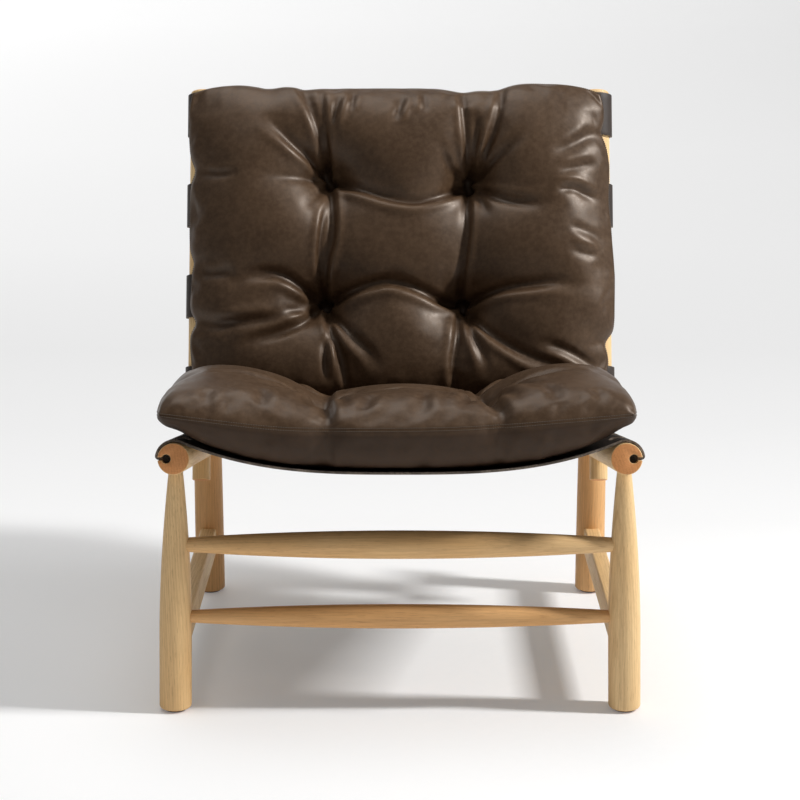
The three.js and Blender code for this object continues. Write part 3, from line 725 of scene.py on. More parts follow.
def spindle_rings(middle, end, reach, sides, steps=40):
    """Rings along Z of a spindle that is thick in the middle."""
    rings = []
    for step in range(steps + 1):
        share = 2 * step / steps - 1
        rings.append(circle_ring(end + (middle - end) * (1 - share * share), share * reach, sides))
    return rings


def across_place(centre):
    """Axes of a timber across the chair, with Z to the right."""
    turned = Matrix(((0, 0, 1), (1, 0, 0), (0, 1, 0))).to_4x4()
    return Matrix.Translation(centre) @ turned


def spindle(name, end_radius, hidden_end, seed, tone_and_painted_shade=0.0):
    """A spindle in its CAD node's place. With no end radius, its ends are half as thick as its middle."""
    low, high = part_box(name)
    middle = (high.z - low.z) / 2
    sides = bpy.context.scene.chair_timber.sides
    rings = spindle_rings(middle, end_radius or middle / 2, high.x - hidden_end, sides)
    timber(name, rings, across_place((low + high) / 2), seed, tone_and_painted_shade=tone_and_painted_shade)


class CHAIR_OT_front_stretchers(Operator):
    """Make the two turned stretchers between the front legs."""

    bl_idname = "chair.front_stretchers"
    bl_label = "Front Stretchers"

    def execute(self, context):
        hidden_end = 0.015 * 0.6
        # Painted shade in part: the stretchers under the seat get redder, darker wood.
        tones_and_painted_shade = {"front_stretcher_upper": 0.25, "front_stretcher_lower": 0.6}
        for index, (name, tone_and_painted_shade) in enumerate(tones_and_painted_shade.items()):
            spindle(name, None, hidden_end, (0.038, 0.012 - 0.05 * index, 5.2 + 1.1 * index), tone_and_painted_shade)
        return {"FINISHED"}


class CHAIR_OT_cross_rails(Operator):
    """Make the two hidden cross rails that hold the sides apart."""

    bl_idname = "chair.cross_rails"
    bl_label = "Cross Rails"

    def execute(self, context):
        end_radius = 0.009
        hidden_end = 0.011 * 0.6
        for index, name in enumerate(("rear_cross_rail", "back_cross_rail")):
            spindle(name, end_radius, hidden_end, (0.03, 0.04 - 0.02 * index, 7.2 + 1.1 * index))
        return {"FINISHED"}


class CHAIR_OT_side_boards(Operator):
    """Make the flat boards between the front and the rear legs."""

    bl_idname = "chair.side_boards"
    bl_label = "Side Boards"

    def execute(self, context):
        settings = context.scene.chair_timber
        rounding = settings.board_rounding
        low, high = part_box("side_board_right")
        front, _ = foot_place("front_glide_right")
        rear, _ = foot_place("rear_glide_right")
        leg_low, leg_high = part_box("front_leg_right")
        leg_radius = (leg_high.y - leg_low.y) / 2
        height = (low.z + high.z) / 2
        half_depth = (high.z - low.z) / 2
        half_thickness = 0.0125
        splay = (front.x - RAIL_X) / rail_axis_height(front.y)
        start = Vector((front.x - splay * height, front.y, height))
        along = Vector((rear.x - start.x, rear.y - start.y, 0))
        outline = []
        for corner_x, corner_y, first in ((1, 1, 0), (-1, 1, 90), (-1, -1, 180), (1, -1, 270)):
            for step in range(7):
                angle = math.radians(first + 15 * step)
                x = corner_x * (half_thickness - rounding) + rounding * math.cos(angle)
                y = corner_y * (half_depth - rounding) + rounding * math.sin(angle)
                outline.append((x, y))
        embed = 0.001
        rings = []
        for step in range(31):
            share = step / 30
            ring = []
            for x, y in outline:
                shoulder = math.sqrt(leg_radius**2 - x**2) - embed
                z = shoulder + (along.length - 2 * shoulder) * share
                ring.append((x, y, z))
            rings.append(ring)
        for index, (name, side) in enumerate(SIDES.items()):
            direction = Vector((side * along.x, along.y, 0)).normalized()
            across = Vector((direction.y, -direction.x, 0))
            axes = Matrix((across, Vector((0, 0, 1)), direction)).transposed()
            if axes.determinant() < 0:
                axes = Matrix((-across, Vector((0, 0, 1)), direction)).transposed()
            place = Matrix.Translation((side * start.x, start.y, start.z)) @ axes.to_4x4()
            timber(f"side_board_{name}", rings, place, (0.05, 0.02 * index, 9.1 + index))
        return {"FINISHED"}


class CHAIR_OT_post_pins(Operator):
    """Make the wooden pins that lock the posts' ends in the rails."""

    bl_idname = "chair.post_pins"
    bl_label = "Post Pins"

    def execute(self, context):
        for index, name in enumerate(SIDES):
            low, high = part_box(f"post_pin_{name}")
            radius = (high.z - low.z) / 2
            half = (high.x - low.x) / 2
            pairs = rounded_profile(radius, ROD_ROUNDING, -half, -1) + rounded_profile(radius, ROD_ROUNDING, half, 1)
            seed = (0.04, 0.01, 11 + index)
            timber(f"post_pin_{name}", turned_rings(pairs, 32), across_place((low + high) / 2), seed)
        return {"FINISHED"}


class CHAIR_OT_glides(Operator):
    """Make the four dark foot glides."""

    bl_idname = "chair.glides"
    bl_label = "Foot Glides"

    def execute(self, context):
        disc_height, nail_radius, disc_rounding = 0.0032, 0.0016, 0.0009
        for leg in ("front", "rear"):
            for name in SIDES:
                node = f"{leg}_glide_{name}"
                centre, radius = foot_place(node)
                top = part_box(node)[1].z
                pairs = rounded_profile(radius, disc_rounding, 0.0, -1)
                pairs += [(radius, disc_height * 0.8), (radius - 0.0005, disc_height)]
                pairs += [(nail_radius, disc_height), (nail_radius, top)]
                mesh = loft(node, turned_rings(pairs, 48))
                place = Matrix.Translation(centre)
                link_piece(f"disc_{node}", mesh, place, "frame", [node], dark_glide())
        return {"FINISHED"}


class CHAIR_OT_rods(Operator):
    """Make the rods that hold the slings in their grooves."""

    bl_idname = "chair.rods"
    bl_label = "Sling Rods"

    def execute(self, context):
        for sling, place in (("seat", seat_place), ("back", back_place)):
            for name, side in SIDES.items():
                node = f"{sling}_sling_rod_{name}"
                low, high = extent(node, place)
                radius = (high.x - low.x) / 2
                pairs = rounded_profile(radius, ROD_ROUNDING, low.y, -1)
                pairs += rounded_profile(radius, ROD_ROUNDING, high.y, 1)
                mesh = loft(node, turned_rings(pairs, 32))
                axes = timber_axes(place, abs(low.x + high.x) / 2, side)
                link_piece(f"steel_{node}", mesh, axes, "frame", [node], black_rod())
        return {"FINISHED"}


# Slings


def sling_height(x, middle, slope, settings):
    """Height of a sling's middle surface over the timbers' axes."""
    wrap = RAIL_RADIUS + settings.wrap_gap + settings.thickness / 2
    leave_x = RAIL_X - wrap * math.sin(slope)
    leave_height = wrap * math.cos(slope)
    side = abs(x)
    if side > leave_x:
        return math.sqrt(max(wrap**2 - (side - RAIL_X) ** 2, 0))
    power = math.tan(slope) * leave_x / (leave_height - middle)
    return middle + (leave_height - middle) * (side / leave_x) ** power


def sling_half_line(middle, slope, settings):
    """Middle line of half a sling: across the chair, round the timber and in to the rod."""
    wrap = RAIL_RADIUS + settings.wrap_gap + settings.thickness / 2
    leave_x = RAIL_X - wrap * math.sin(slope)
    groove = bpy.context.scene.chair_timber.groove_offset
    span_steps, wrap_steps, elbow_steps = 36, 30, 7
    line = []
    for step in range(span_steps + 1):
        x = leave_x * step / span_steps
        line.append((x, sling_height(x, middle, slope, settings)))
    first = math.pi / 2 + slope
    last = math.asin(settings.elbow_radius / wrap)
    for step in range(1, wrap_steps + 1):
        angle = first + (last - first) * step / wrap_steps
        line.append((RAIL_X + wrap * math.cos(angle), wrap * math.sin(angle)))
    elbow_x = RAIL_X + wrap * math.cos(last) - settings.elbow_radius
    for step in range(1, elbow_steps + 1):
        angle = -math.pi / 2 * step / elbow_steps
        x = elbow_x + settings.elbow_radius * math.cos(angle)
        line.append((x, settings.elbow_radius * (1 + math.sin(angle))))
    line.append((RAIL_X + groove + settings.bead_radius * 0.8, 0.0))
    return line


def thick_strip(line, thickness):
    """Closed outline of a line thickened to both sides."""
    upper, lower = [], []
    for index, point in enumerate(line):
        before = Vector(line[max(index - 1, 0)])
        after = Vector(line[min(index + 1, len(line) - 1)])
        across = (after - before).normalized()
        offset = Vector((-across.y, across.x)) * (thickness / 2)
        upper.append(Vector(point) + offset)
        lower.append(Vector(point) - offset)
    return lower + list(reversed(upper))


def prism(name, outline, start, end, cuts=1):
    """A closed prism of an outline in X and Z, drawn along Y, with its two ends marked as cut."""
    count = len(outline)
    vertices = []
    for level in range(cuts + 1):
        y = start + (end - start) * level / cuts
        vertices += [(point[0], y, point[1]) for point in outline]
    faces = []
    for level in range(cuts):
        for k in range(count):
            a = level * count + k
            b = level * count + (k + 1) % count
            faces.append((b, a, a + count, b + count))
    faces.append(tuple(range(count)))
    faces.append(tuple(reversed(range(cuts * count, (cuts + 1) * count))))
    mesh = solid_mesh(name, vertices, faces)
    for face in mesh.polygons[-2:]:
        face.material_index = 1
    return mesh


def mark_as_cut(mesh):
    """Give every face the finish of a cut edge."""
    mesh.polygons.foreach_set("material_index", [1] * len(mesh.polygons))


def notch_tool(start, end, side, settings):
    """A block that cuts the notch between two tabs, with rounded inner corners."""
    inner = RAIL_X - settings.notch_inset
    outer = RAIL_X + RAIL_RADIUS * 2
    rounding = settings.notch_rounding
    outline = [(outer, start), (outer, end)]
    for first, centre in ((math.pi / 2, end - rounding), (math.pi, start + rounding)):
        for step in range(9):
            angle = first + math.pi / 2 * step / 8
            outline.append((inner + rounding + rounding * math.cos(angle), centre + rounding * math.sin(angle)))
    reach = RAIL_RADIUS * 2
    count = len(outline)
    vertices = [(side * x, y, z) for z in (-reach, reach) for x, y in outline]
    faces = [(k, (k + 1) % count, (k + 1) % count + count, k + count) for k in range(count)]
    faces += [tuple(range(count)), tuple(range(count, 2 * count))]
    mesh = solid_mesh("notch", vertices, faces)
    mark_as_cut(mesh)
    return mesh


def add_sling_finishes(mesh):
    mesh.materials.append(sling_leather())
    mesh.materials.append(cut_edge())


def joined_mesh(name, meshes):
    work = bmesh.new()
    for mesh in meshes:
        work.from_mesh(mesh)
    joined = bpy.data.meshes.new(name)
    work.to_mesh(joined)
    work.free()
    return joined


def sleeve_meshes(start, end, settings):
    """The leather sleeves round the two rods."""
    groove = bpy.context.scene.chair_timber.groove_offset
    bore = 0.0033
    meshes = []
    for side in (1, -1):
        steps = 28
        rings = []
        for radius, levels in ((settings.bead_radius, (start, end)), (bore, (end, start))):
            for y in levels:
                rings.append([
                    (side * (RAIL_X + groove) + radius * math.cos(2 * math.pi * k / steps), y,
                     radius * math.sin(2 * math.pi * k / steps))
                    for k in range(steps)
                ])
        vertices = [point for ring in rings for point in ring]
        faces = []
        for level in range(4):
            for k in range(steps):
                a = level * steps + k
                b = level * steps + (k + 1) % steps
                c = (level + 1) % 4 * steps
                faces.append((a, b, c + (k + 1) % steps, c + k))
        meshes.append(solid_mesh("sleeve", vertices, faces))
    return meshes


def declare_sheet(line, settings):
    """Lengths along half the sling's line, to its end and to the notches; neither is kept."""
    steps = list(zip(line, line[1:]))
    half_width = sum(math.dist(a, b) for a, b in steps)
    to_notch = sum(math.dist(a, b) for a, b in steps if b[0] <= RAIL_X - settings.notch_inset)


def make_sling(name, node, place, middle, slope, settings):
    low, high = extent(node, place)
    line = sling_half_line(middle, slope, settings)
    whole = [(-x, z) for x, z in reversed(line[1:])] + line
    sheet = prism(name, thick_strip(whole, settings.thickness), low.y, high.y, 48)
    piece = link_piece(name, sheet, place, "frame", [node])
    add_sling_finishes(sheet)
    tools = []
    pitch = (high.y - low.y - settings.tab_width) / (settings.tab_count - 1)
    for gap in range(settings.tab_count - 1):
        start = low.y + gap * pitch + settings.tab_width
        for side in (1, -1):
            tools.append(notch_tool(start, low.y + (gap + 1) * pitch, side, settings))
    cutter = bpy.data.objects.new("notches", joined_mesh("notches", tools))
    add_sling_finishes(cutter.data)
    mark_as_cut(cutter.data)
    bpy.context.scene.collection.objects.link(cutter)
    cutter.matrix_world = piece.matrix_world
    cut = piece.modifiers.new("Notches", "BOOLEAN")
    cut.operation = "DIFFERENCE"
    cut.solver = "EXACT"
    cut.object = cutter
    rounding = piece.modifiers.new("Rounding", "BEVEL")
    rounding.width = settings.edge_rounding
    rounding.segments = 2
    rounding.limit_method = "ANGLE"
    rounding.angle_limit = math.radians(50)
    mesh = applied_mesh(piece)
    bpy.data.objects.remove(cutter)
    full = joined_mesh(name, [mesh] + sleeve_meshes(low.y, high.y, settings))
    add_sling_finishes(full)
    piece.data = smooth_mesh(full, 40)
    declare_sheet(line, settings)
    return piece


class CHAIR_OT_seat_sling(Operator):
    """Make the seat sling with its tabs round the rails."""

    bl_idname = "chair.seat_sling"
    bl_label = "Seat Sling"

    def execute(self, context):
        settings = context.scene.chair_sling
        make_sling(
            "leather_seat_sling", "seat_sling", seat_place, -settings.seat_drop, settings.seat_slope,
            settings
        )
        return {"FINISHED"}


class CHAIR_OT_back_sling(Operator):
    """Make the back sling with its tabs round the posts."""

    bl_idname = "chair.back_sling"
    bl_label = "Back Sling"

    def execute(self, context):
        settings = context.scene.chair_sling
        make_sling(
            "leather_back_sling", "back_sling", back_place, settings.back_standoff, settings.back_slope,
            settings
        )
        return {"FINISHED"}


# Cushions


def ramp_share(start, end, values):
    share = np.clip((values - start) / (end - start), 0, 1)
    return share * share * (3 - 2 * share)


def bell(distance, radius):
    return np.exp(-((distance / radius) ** 2))


def peak(distance, radius):
    """Like a bell, but with a narrow tip."""
    return np.exp(-(np.sqrt((distance / radius) ** 2 + 0.03) ** 1.3))


def fullness(share, power):
    return np.sqrt(np.clip(1 - np.abs(share) ** power, 0, None))


def gathered(count, strength=0.7):
    share = np.linspace(-1, 1, count + 1)
    return (1 - strength) * share + strength * np.sin(share * math.pi / 2)


def grid_quads(columns, rows, start=0):
    stride = columns + 1
    quads = []
    for row in range(rows):
        for column in range(columns):
            a = start + row * stride + column
            quads.append((a, a + 1, a + stride + 1, a + stride))
    return quads


def smooth_path(points, steps=6):
    """More points on a smooth curve through a fold's few points."""
    ends = [2 * points[0] - points[1], *points, 2 * points[-1] - points[-2]]
    path = []
    for a, b, c, d in zip(ends, ends[1:], ends[2:], ends[3:]):
        for step in range(steps):
            u = step / steps
            path.append(
                0.5 * (2 * b + (c - a) * u + (2 * a - 5 * b + 4 * c - d) * u**2 + (3 * b - a - 3 * c + d) * u**3)
            )
    return np.array(path + [points[-1]])


def beside_path(x, y, path):
    """For each place: its signed distance to a path, and the share of the path's length at the nearest point."""
    pieces = np.diff(path, axis=0)
    lengths = np.linalg.norm(pieces, axis=1)
    reached = np.concatenate([[0], np.cumsum(lengths)])
    nearest = np.full(x.shape, 1e9)
    signed = np.zeros(x.shape)
    share = np.zeros(x.shape)
    for (a_x, a_y), (d_x, d_y), length, before in zip(path, pieces, lengths, reached):
        along = np.clip(((x - a_x) * d_x + (y - a_y) * d_y) / length**2, 0, 1)
        off_x, off_y = x - a_x - along * d_x, y - a_y - along * d_y
        distance = np.hypot(off_x, off_y)
        closer = distance < nearest
        nearest = np.where(closer, distance, nearest)
        signed = np.where(closer, np.copysign(distance, d_x * off_y - d_y * off_x), signed)
        share = np.where(closer, (before + along * length) / reached[-1], share)
    return signed, share


FADES = {
    "link": lambda share: np.ones_like(share),
    "out": lambda share: 1 - ramp_share(0.45, 1.0, share),
    "edge": lambda share: 1 - 0.45 * share,
    "loose": lambda share: ramp_share(0, 0.35, share) * (1 - ramp_share(0.6, 1.0, share)),
}


def fold_relief(x, y, folds, shape=bell):
    """Height that the folds add: each a valley along a path, some with a raised lip on one side."""
    relief = np.zeros_like(x)
    for kind, depth, width, lip, points in folds:
        signed, share = beside_path(x, y, smooth_path([np.array(point) / 1000 for point in points]))
        spread = width * (0.75 + 0.6 * share if kind == "out" else 1.0)
        off = signed / spread
        profile = -shape(off, 1)
        if lip:
            profile = profile + abs(lip) * bell(off * np.sign(lip) - 1.9, 1.0)
        relief += depth * FADES[kind](share) * profile
    return relief


def flat_cover(form, settings):
    """The upper cover before it is filled: places across and along, and its height over the seam."""
    across = gathered(settings.columns)
    along = gathered(settings.rows)
    s, t = np.meshgrid(across, along)
    x = s * form["half_width"] * (1 - form["side_draw"] * t**6)
    y = t * form["half_depth"] * (1 - form["end_draw"] * s**8)
    valleys = fold_relief(x, y, form["valleys"], peak)
    pinch = settings.side_pinch * np.clip(-valleys / 0.008, 0, 1)
    for side, outline in form["outline"].items():
        x = x + side * np.interp(y, *zip(*outline)) * np.clip(side * s, 0, 1) ** 5
    y = y + form["top_spare"] * ramp_share(0.3, 0.6, np.abs(s)) * np.clip(t, 0, 1) ** 3
    x = x - pinch * s**5 + form["shift"]
    y = y - pinch * t**5
    body = fullness(s, form["side_fullness"]) * fullness(t, 3.5)
    tuft = sum(peak(np.hypot(x - tuft_x, y - tuft_y), settings.tuft_radius) for tuft_x, tuft_y in form["tufts"])
    height = (form["crown"](x, y) * START_SHARE + valleys - form["tuft_depth"] * tuft) * body
    ripple = np.array([
        noise.noise(Vector((a * 28, b * 28, form["ripple_seed"]))) for a, b in zip(x.ravel(), y.ravel())
    ]).reshape(x.shape)
    height += form["ripple"] * ripple * body
    return s, t, x, y, height


def doubled(grid):
    """A grid with a smooth middle point between each two neighbours, first down and then across."""
    for _ in range(2):
        padded = np.concatenate([2 * grid[:1] - grid[1:2], grid, 2 * grid[-1:] - grid[-2:-1]])
        middle = (9 * (padded[1:-2] + padded[2:-1]) - padded[:-3] - padded[3:]) / 16
        finer = np.empty((2 * len(grid) - 1, *grid.shape[1:]))
        finer[::2] = grid
        finer[1::2] = middle
        grid = finer.swapaxes(0, 1)
    return grid


def surface_normals(points):
    """Directions straight out of a grid of points."""
    across = np.gradient(points, axis=1)
    along = np.gradient(points, axis=0)
    normals = np.cross(across, along)
    return normals / np.maximum(np.linalg.norm(normals, axis=2, keepdims=True), 1e-12)


def edge_gathers(s, t, x, y, seed):
    """Small puckers that run in from the seam."""
    ends = ramp_share(0.72, 0.93, np.abs(t)) * (1 - ramp_share(0.97, 1.0, np.abs(t)))
    sides = ramp_share(0.80, 0.95, np.abs(s)) * (1 - ramp_share(0.98, 1.0, np.abs(s)))
    along_x = np.array([noise.noise(Vector((a * 50, b * 9, seed))) for a, b in zip(x.ravel(), y.ravel())])
    along_y = np.array([noise.noise(Vector((a * 9, b * 42, seed + 5))) for a, b in zip(x.ravel(), y.ravel())])
    return ends * along_x.reshape(x.shape) + sides * along_y.reshape(x.shape)


def rim_mask(shape):
    rim = np.zeros(shape, bool)
    rim[0, :] = rim[-1, :] = True
    rim[:, 0] = rim[:, -1] = True
    return rim


COVER_CLOTH = {
    "quality": 6,
    "mass": 0.3,
    "air_damping": 2,
    "tension_stiffness": 15,
    "compression_stiffness": 15,
    "shear_stiffness": 5,
    "bending_stiffness": 3.0,
    "tension_damping": 8,
    "compression_damping": 8,
    "shear_damping": 8,
    "bending_damping": 2,
    "use_pressure": True,
    "uniform_pressure_force": 5.0,
    "shrink_min": -0.012,
    "pin_stiffness": 1,
}
TUFT_POINTS = 5  # held round each tuft
FILLING_FRAMES = 24
MOST_FILLING = 0.030  # how far a point of a cover may move
START_SHARE = 0.86  # of the crown's height, before the cover is filled


def filled_cover(form, x, y, height):
    """Fills the cover out as cloth under pressure, held at the seam and at the tufts."""
    vertices = np.stack([x, y, height], -1).reshape(-1, 3)
    mesh = new_mesh("cover", vertices.tolist(), grid_quads(x.shape[1] - 1, x.shape[0] - 1))
    cover = bpy.data.objects.new("cover", mesh)
    bpy.context.scene.collection.objects.link(cover)
    held = cover.vertex_groups.new(name="held")
    held.add(np.flatnonzero(rim_mask(x.shape).ravel()).tolist(), 1.0, "REPLACE")
    for tuft_x, tuft_y in form["tufts"]:
        distance = np.hypot(x - tuft_x, y - tuft_y).ravel()
        held.add(np.argsort(distance)[:TUFT_POINTS].tolist(), 1.0, "REPLACE")
    cloth = cover.modifiers.new("Cloth", "CLOTH")
    for name, value in COVER_CLOTH.items():
        setattr(cloth.settings, name, value)
    cloth.settings.vertex_group_mass = "held"
    cloth.settings.effector_weights.gravity = 0
    cloth.collision_settings.use_collision = False
    cloth.collision_settings.use_self_collision = False
    cloth.point_cache.frame_start = 1
    cloth.point_cache.frame_end = FILLING_FRAMES
    scene = bpy.context.scene
    for step in range(1, FILLING_FRAMES + 1):
        scene.frame_set(step)
    evaluated = cover.evaluated_get(bpy.context.evaluated_depsgraph_get())
    filled = np.empty(len(vertices) * 3, np.float32)
    evaluated.data.vertices.foreach_get("co", filled)
    scene.frame_set(1)
    bpy.data.objects.remove(cover)
    filled = filled.reshape(-1, 3).astype(float)
    move = filled - vertices
    distance = np.linalg.norm(move, axis=1, keepdims=True)
    filled = vertices + move * np.minimum(1, MOST_FILLING / np.maximum(distance, 1e-9))
    return filled.reshape(*x.shape, 3)


def smoothed(points, passes=3):
    """The cover without the smallest ripples of the filling. Its rim stays."""
    for _ in range(passes):
        around = (points[:-2, 1:-1] + points[2:, 1:-1] + points[1:-1, :-2] + points[1:-1, 2:]) / 4
        points = points.copy()
        points[1:-1, 1:-1] = (points[1:-1, 1:-1] + around) / 2
    return points


def fold_shares(height):
    """Positive where the cover stands over its surroundings and negative in a fold."""
    around = height.copy()
    for _ in range(6):
        padded = np.pad(around, 1, mode="edge")
        around = (padded[:-2, 1:-1] + padded[2:, 1:-1] + padded[1:-1, :-2] + padded[1:-1, 2:]) / 4
    return np.clip((height - around) / 0.0012, -1, 1)


def make_cushion(name, node, body, place, form, settings):
    low, high = extent(node, place)
    form["half_width"] = (high.x - low.x) / 2 + form["spare_width"]
    form["half_depth"] = (high.y - low.y) / 2
    centre_y = (high.y + low.y) / 2
    s, t, x, y, height = flat_cover(form, settings)
    points = smoothed(filled_cover(form, x, y, height))
    points = doubled(points)
    s, t = doubled(s), doubled(t)
    x, y = points[:, :, 0], points[:, :, 1]
    relief = fold_relief(x, y, form["creases"])
    relief += settings.gather_depth * edge_gathers(s, t, x, y, form["ripple_seed"])
    relief *= fullness(s, 14) * fullness(t, 14)
    points = points + relief[:, :, None] * surface_normals(points)
    folds = fold_shares(relief)
    x, y, lift = points[:, :, 0], points[:, :, 1], points[:, :, 2]
    rim = rim_mask(x.shape)
    outward = np.hypot(x, y)
    x = np.where(rim, x * (1 - settings.seam_groove / outward), x)
    y = np.where(rim, y * (1 - settings.seam_groove / outward), y)
    lift = lift * form["lift_share"] * form["press"](y + centre_y)
    seam = form["seam"](x)
    y = y + centre_y
    belly = fullness(s, 7) * fullness(t, 9)
    sling = bpy.context.scene.chair_sling
    sling_top = np.vectorize(lambda across: sling_height(across, *form["support"], sling) + sling.thickness / 2)
    floor = sling_top(x) + settings.rest_gap
    puckers = settings.gather_depth * form["under_gathers"] * edge_gathers(s, t, x, y, form["ripple_seed"] + 11)
    upper = np.stack([x, y, seam + lift], -1).reshape(-1, 3)
    lower = np.stack([x, y - puckers, seam - (seam - floor) * belly - puckers], -1).reshape(-1, 3)
    flat_rim = rim.ravel()
    count = len(upper)
    lower_index = np.arange(count)
    inside = np.flatnonzero(~flat_rim)
    lower_index[inside] = count + np.arange(len(inside))
    vertices = np.concatenate([upper, lower[inside]])
    quads = grid_quads(x.shape[1] - 1, x.shape[0] - 1)
    faces = quads + [tuple(int(lower_index[k]) for k in reversed(quad)) for quad in quads]
    mesh = new_mesh(name, vertices.tolist(), faces)
    fold = mesh.attributes.new("fold", "FLOAT", "POINT")
    fold.data.foreach_set("value", np.concatenate([folds.ravel(), np.zeros(len(inside))]).astype(np.float32))
    # The under attribute marks the lower cover, which the leather darkens as painted shade.
    under = mesh.attributes.new("under", "FLOAT", "POINT")
    under.data.foreach_set("value", np.concatenate([np.zeros(count), np.ones(len(inside))]).astype(np.float32))
    shade_smooth(mesh)
    cushion = link_piece(name, mesh, place, body, [node], cushion_leather())
    sew_seam(name, body, place, upper.reshape(*x.shape, 3), lower.reshape(*x.shape, 3), settings)
    return cushion


def rim_loop(grid):
    """The points round the edge of a grid, in order."""
    return np.concatenate([grid[0, :-1], grid[:-1, -1], grid[-1, :0:-1], grid[:0:-1, 0]])


def inner_loop(grid):
    """For each point round the edge, the point one step further in."""
    return np.concatenate([grid[1, :-1], grid[:-1, -2], grid[-2, :0:-1], grid[:0:-1, 1]])


def even_points(loop, spacing):
    """Points at even steps round a closed loop."""
    closed = np.vstack([loop, loop[:1]])
    lengths = np.concatenate([[0], np.cumsum(np.linalg.norm(np.diff(closed, axis=0), axis=1))])
    count = int(lengths[-1] / spacing)
    marks = np.linspace(0, lengths[-1], count, endpoint=False)
    return np.stack([np.interp(marks, lengths, closed[:, k]) for k in range(3)], -1)


def sew_seam(name, body, place, upper, lower, settings):
    """Two rows of stitches, one on each side of the seam."""
    rim = rim_loop(upper)
    centre = rim.mean(0)
    vertices, faces = [], []
    for grid in (upper, lower):
        near = inner_loop(grid)
        step = near - rim
        length = np.maximum(np.linalg.norm(step, axis=1, keepdims=True), 1e-6)
        row = rim + step / length * settings.stitch_offset
        outward = rim - centre
        outward[:, 2] = 0
        outward /= np.maximum(np.linalg.norm(outward, axis=1, keepdims=True), 1e-6)
        row = row + outward * settings.thread_radius * 0.6
        marks = even_points(row, settings.stitch_length)
        for index in range(len(marks)):
            start = marks[index]
            end = marks[(index + 1) % len(marks)]
            add_stitch(vertices, faces, start, start + (end - start) * 0.68, settings.thread_radius)
    mesh = smooth_mesh(new_mesh(f"{name}_stitches", vertices, faces), 80)
    return link_piece(f"{name}_stitches", mesh, place, body, [], thread())


def add_stitch(vertices, faces, start, end, radius):
    """A short thread with sunken ends."""
    along = Vector(end - start)
    across = along.orthogonal().normalized()
    second = along.cross(across).normalized()
    base = len(vertices)
    sides = 6
    levels = ((0.0, 0.35), (0.22, 1.0), (0.78, 1.0), (1.0, 0.35))
    for share, thickness in levels:
        middle = Vector(start) + along * share
        for k in range(sides):
            angle = 2 * math.pi * k / sides
            offset = across * math.cos(angle) + second * math.sin(angle)
            vertices.append(tuple(middle + offset * radius * thickness))
    faces += tube_faces(len(levels), sides, base)


# Folds of the cushions: kind, depth and width in metres, the lip as a share of the depth with the sign of its side,
# and the path from the cushion's middle in millimetres

SEAT_VALLEYS = (
    ("link", 0.015, 0.024, 0, ((-108, -78), (-112, 0), (-112, 78))),
    ("link", 0.015, 0.024, 0, ((121, -78), (119, 0), (118, 78))),
    ("edge", 0.02, 0.02, 0, ((-108, -78), (-105, -150), (-100, -240))),
    ("edge", 0.02, 0.022, 0, ((121, -78), (126, -150), (135, -240))),
    ("edge", 0.009, 0.026, 0, ((-108, -78), (-200, -86), (-330, -96))),
    ("edge", 0.009, 0.026, 0, ((121, -78), (205, -86), (330, -96))),
    ("edge", 0.009, 0.026, 0, ((-112, 78), (-200, 86), (-330, 92))),
    ("edge", 0.009, 0.026, 0, ((118, 78), (205, 86), (330, 92))),
    ("edge", 0.011, 0.024, 0, ((-112, 78), (-113, 150), (-110, 240))),
    ("edge", 0.011, 0.024, 0, ((118, 78), (119, 150), (116, 240))),
    ("link", 0.009, 0.024, 0, ((-108, -78), (0, -88), (121, -78))),
    ("link", 0.01, 0.024, 0, ((-112, 78), (0, 70), (118, 78))),
)

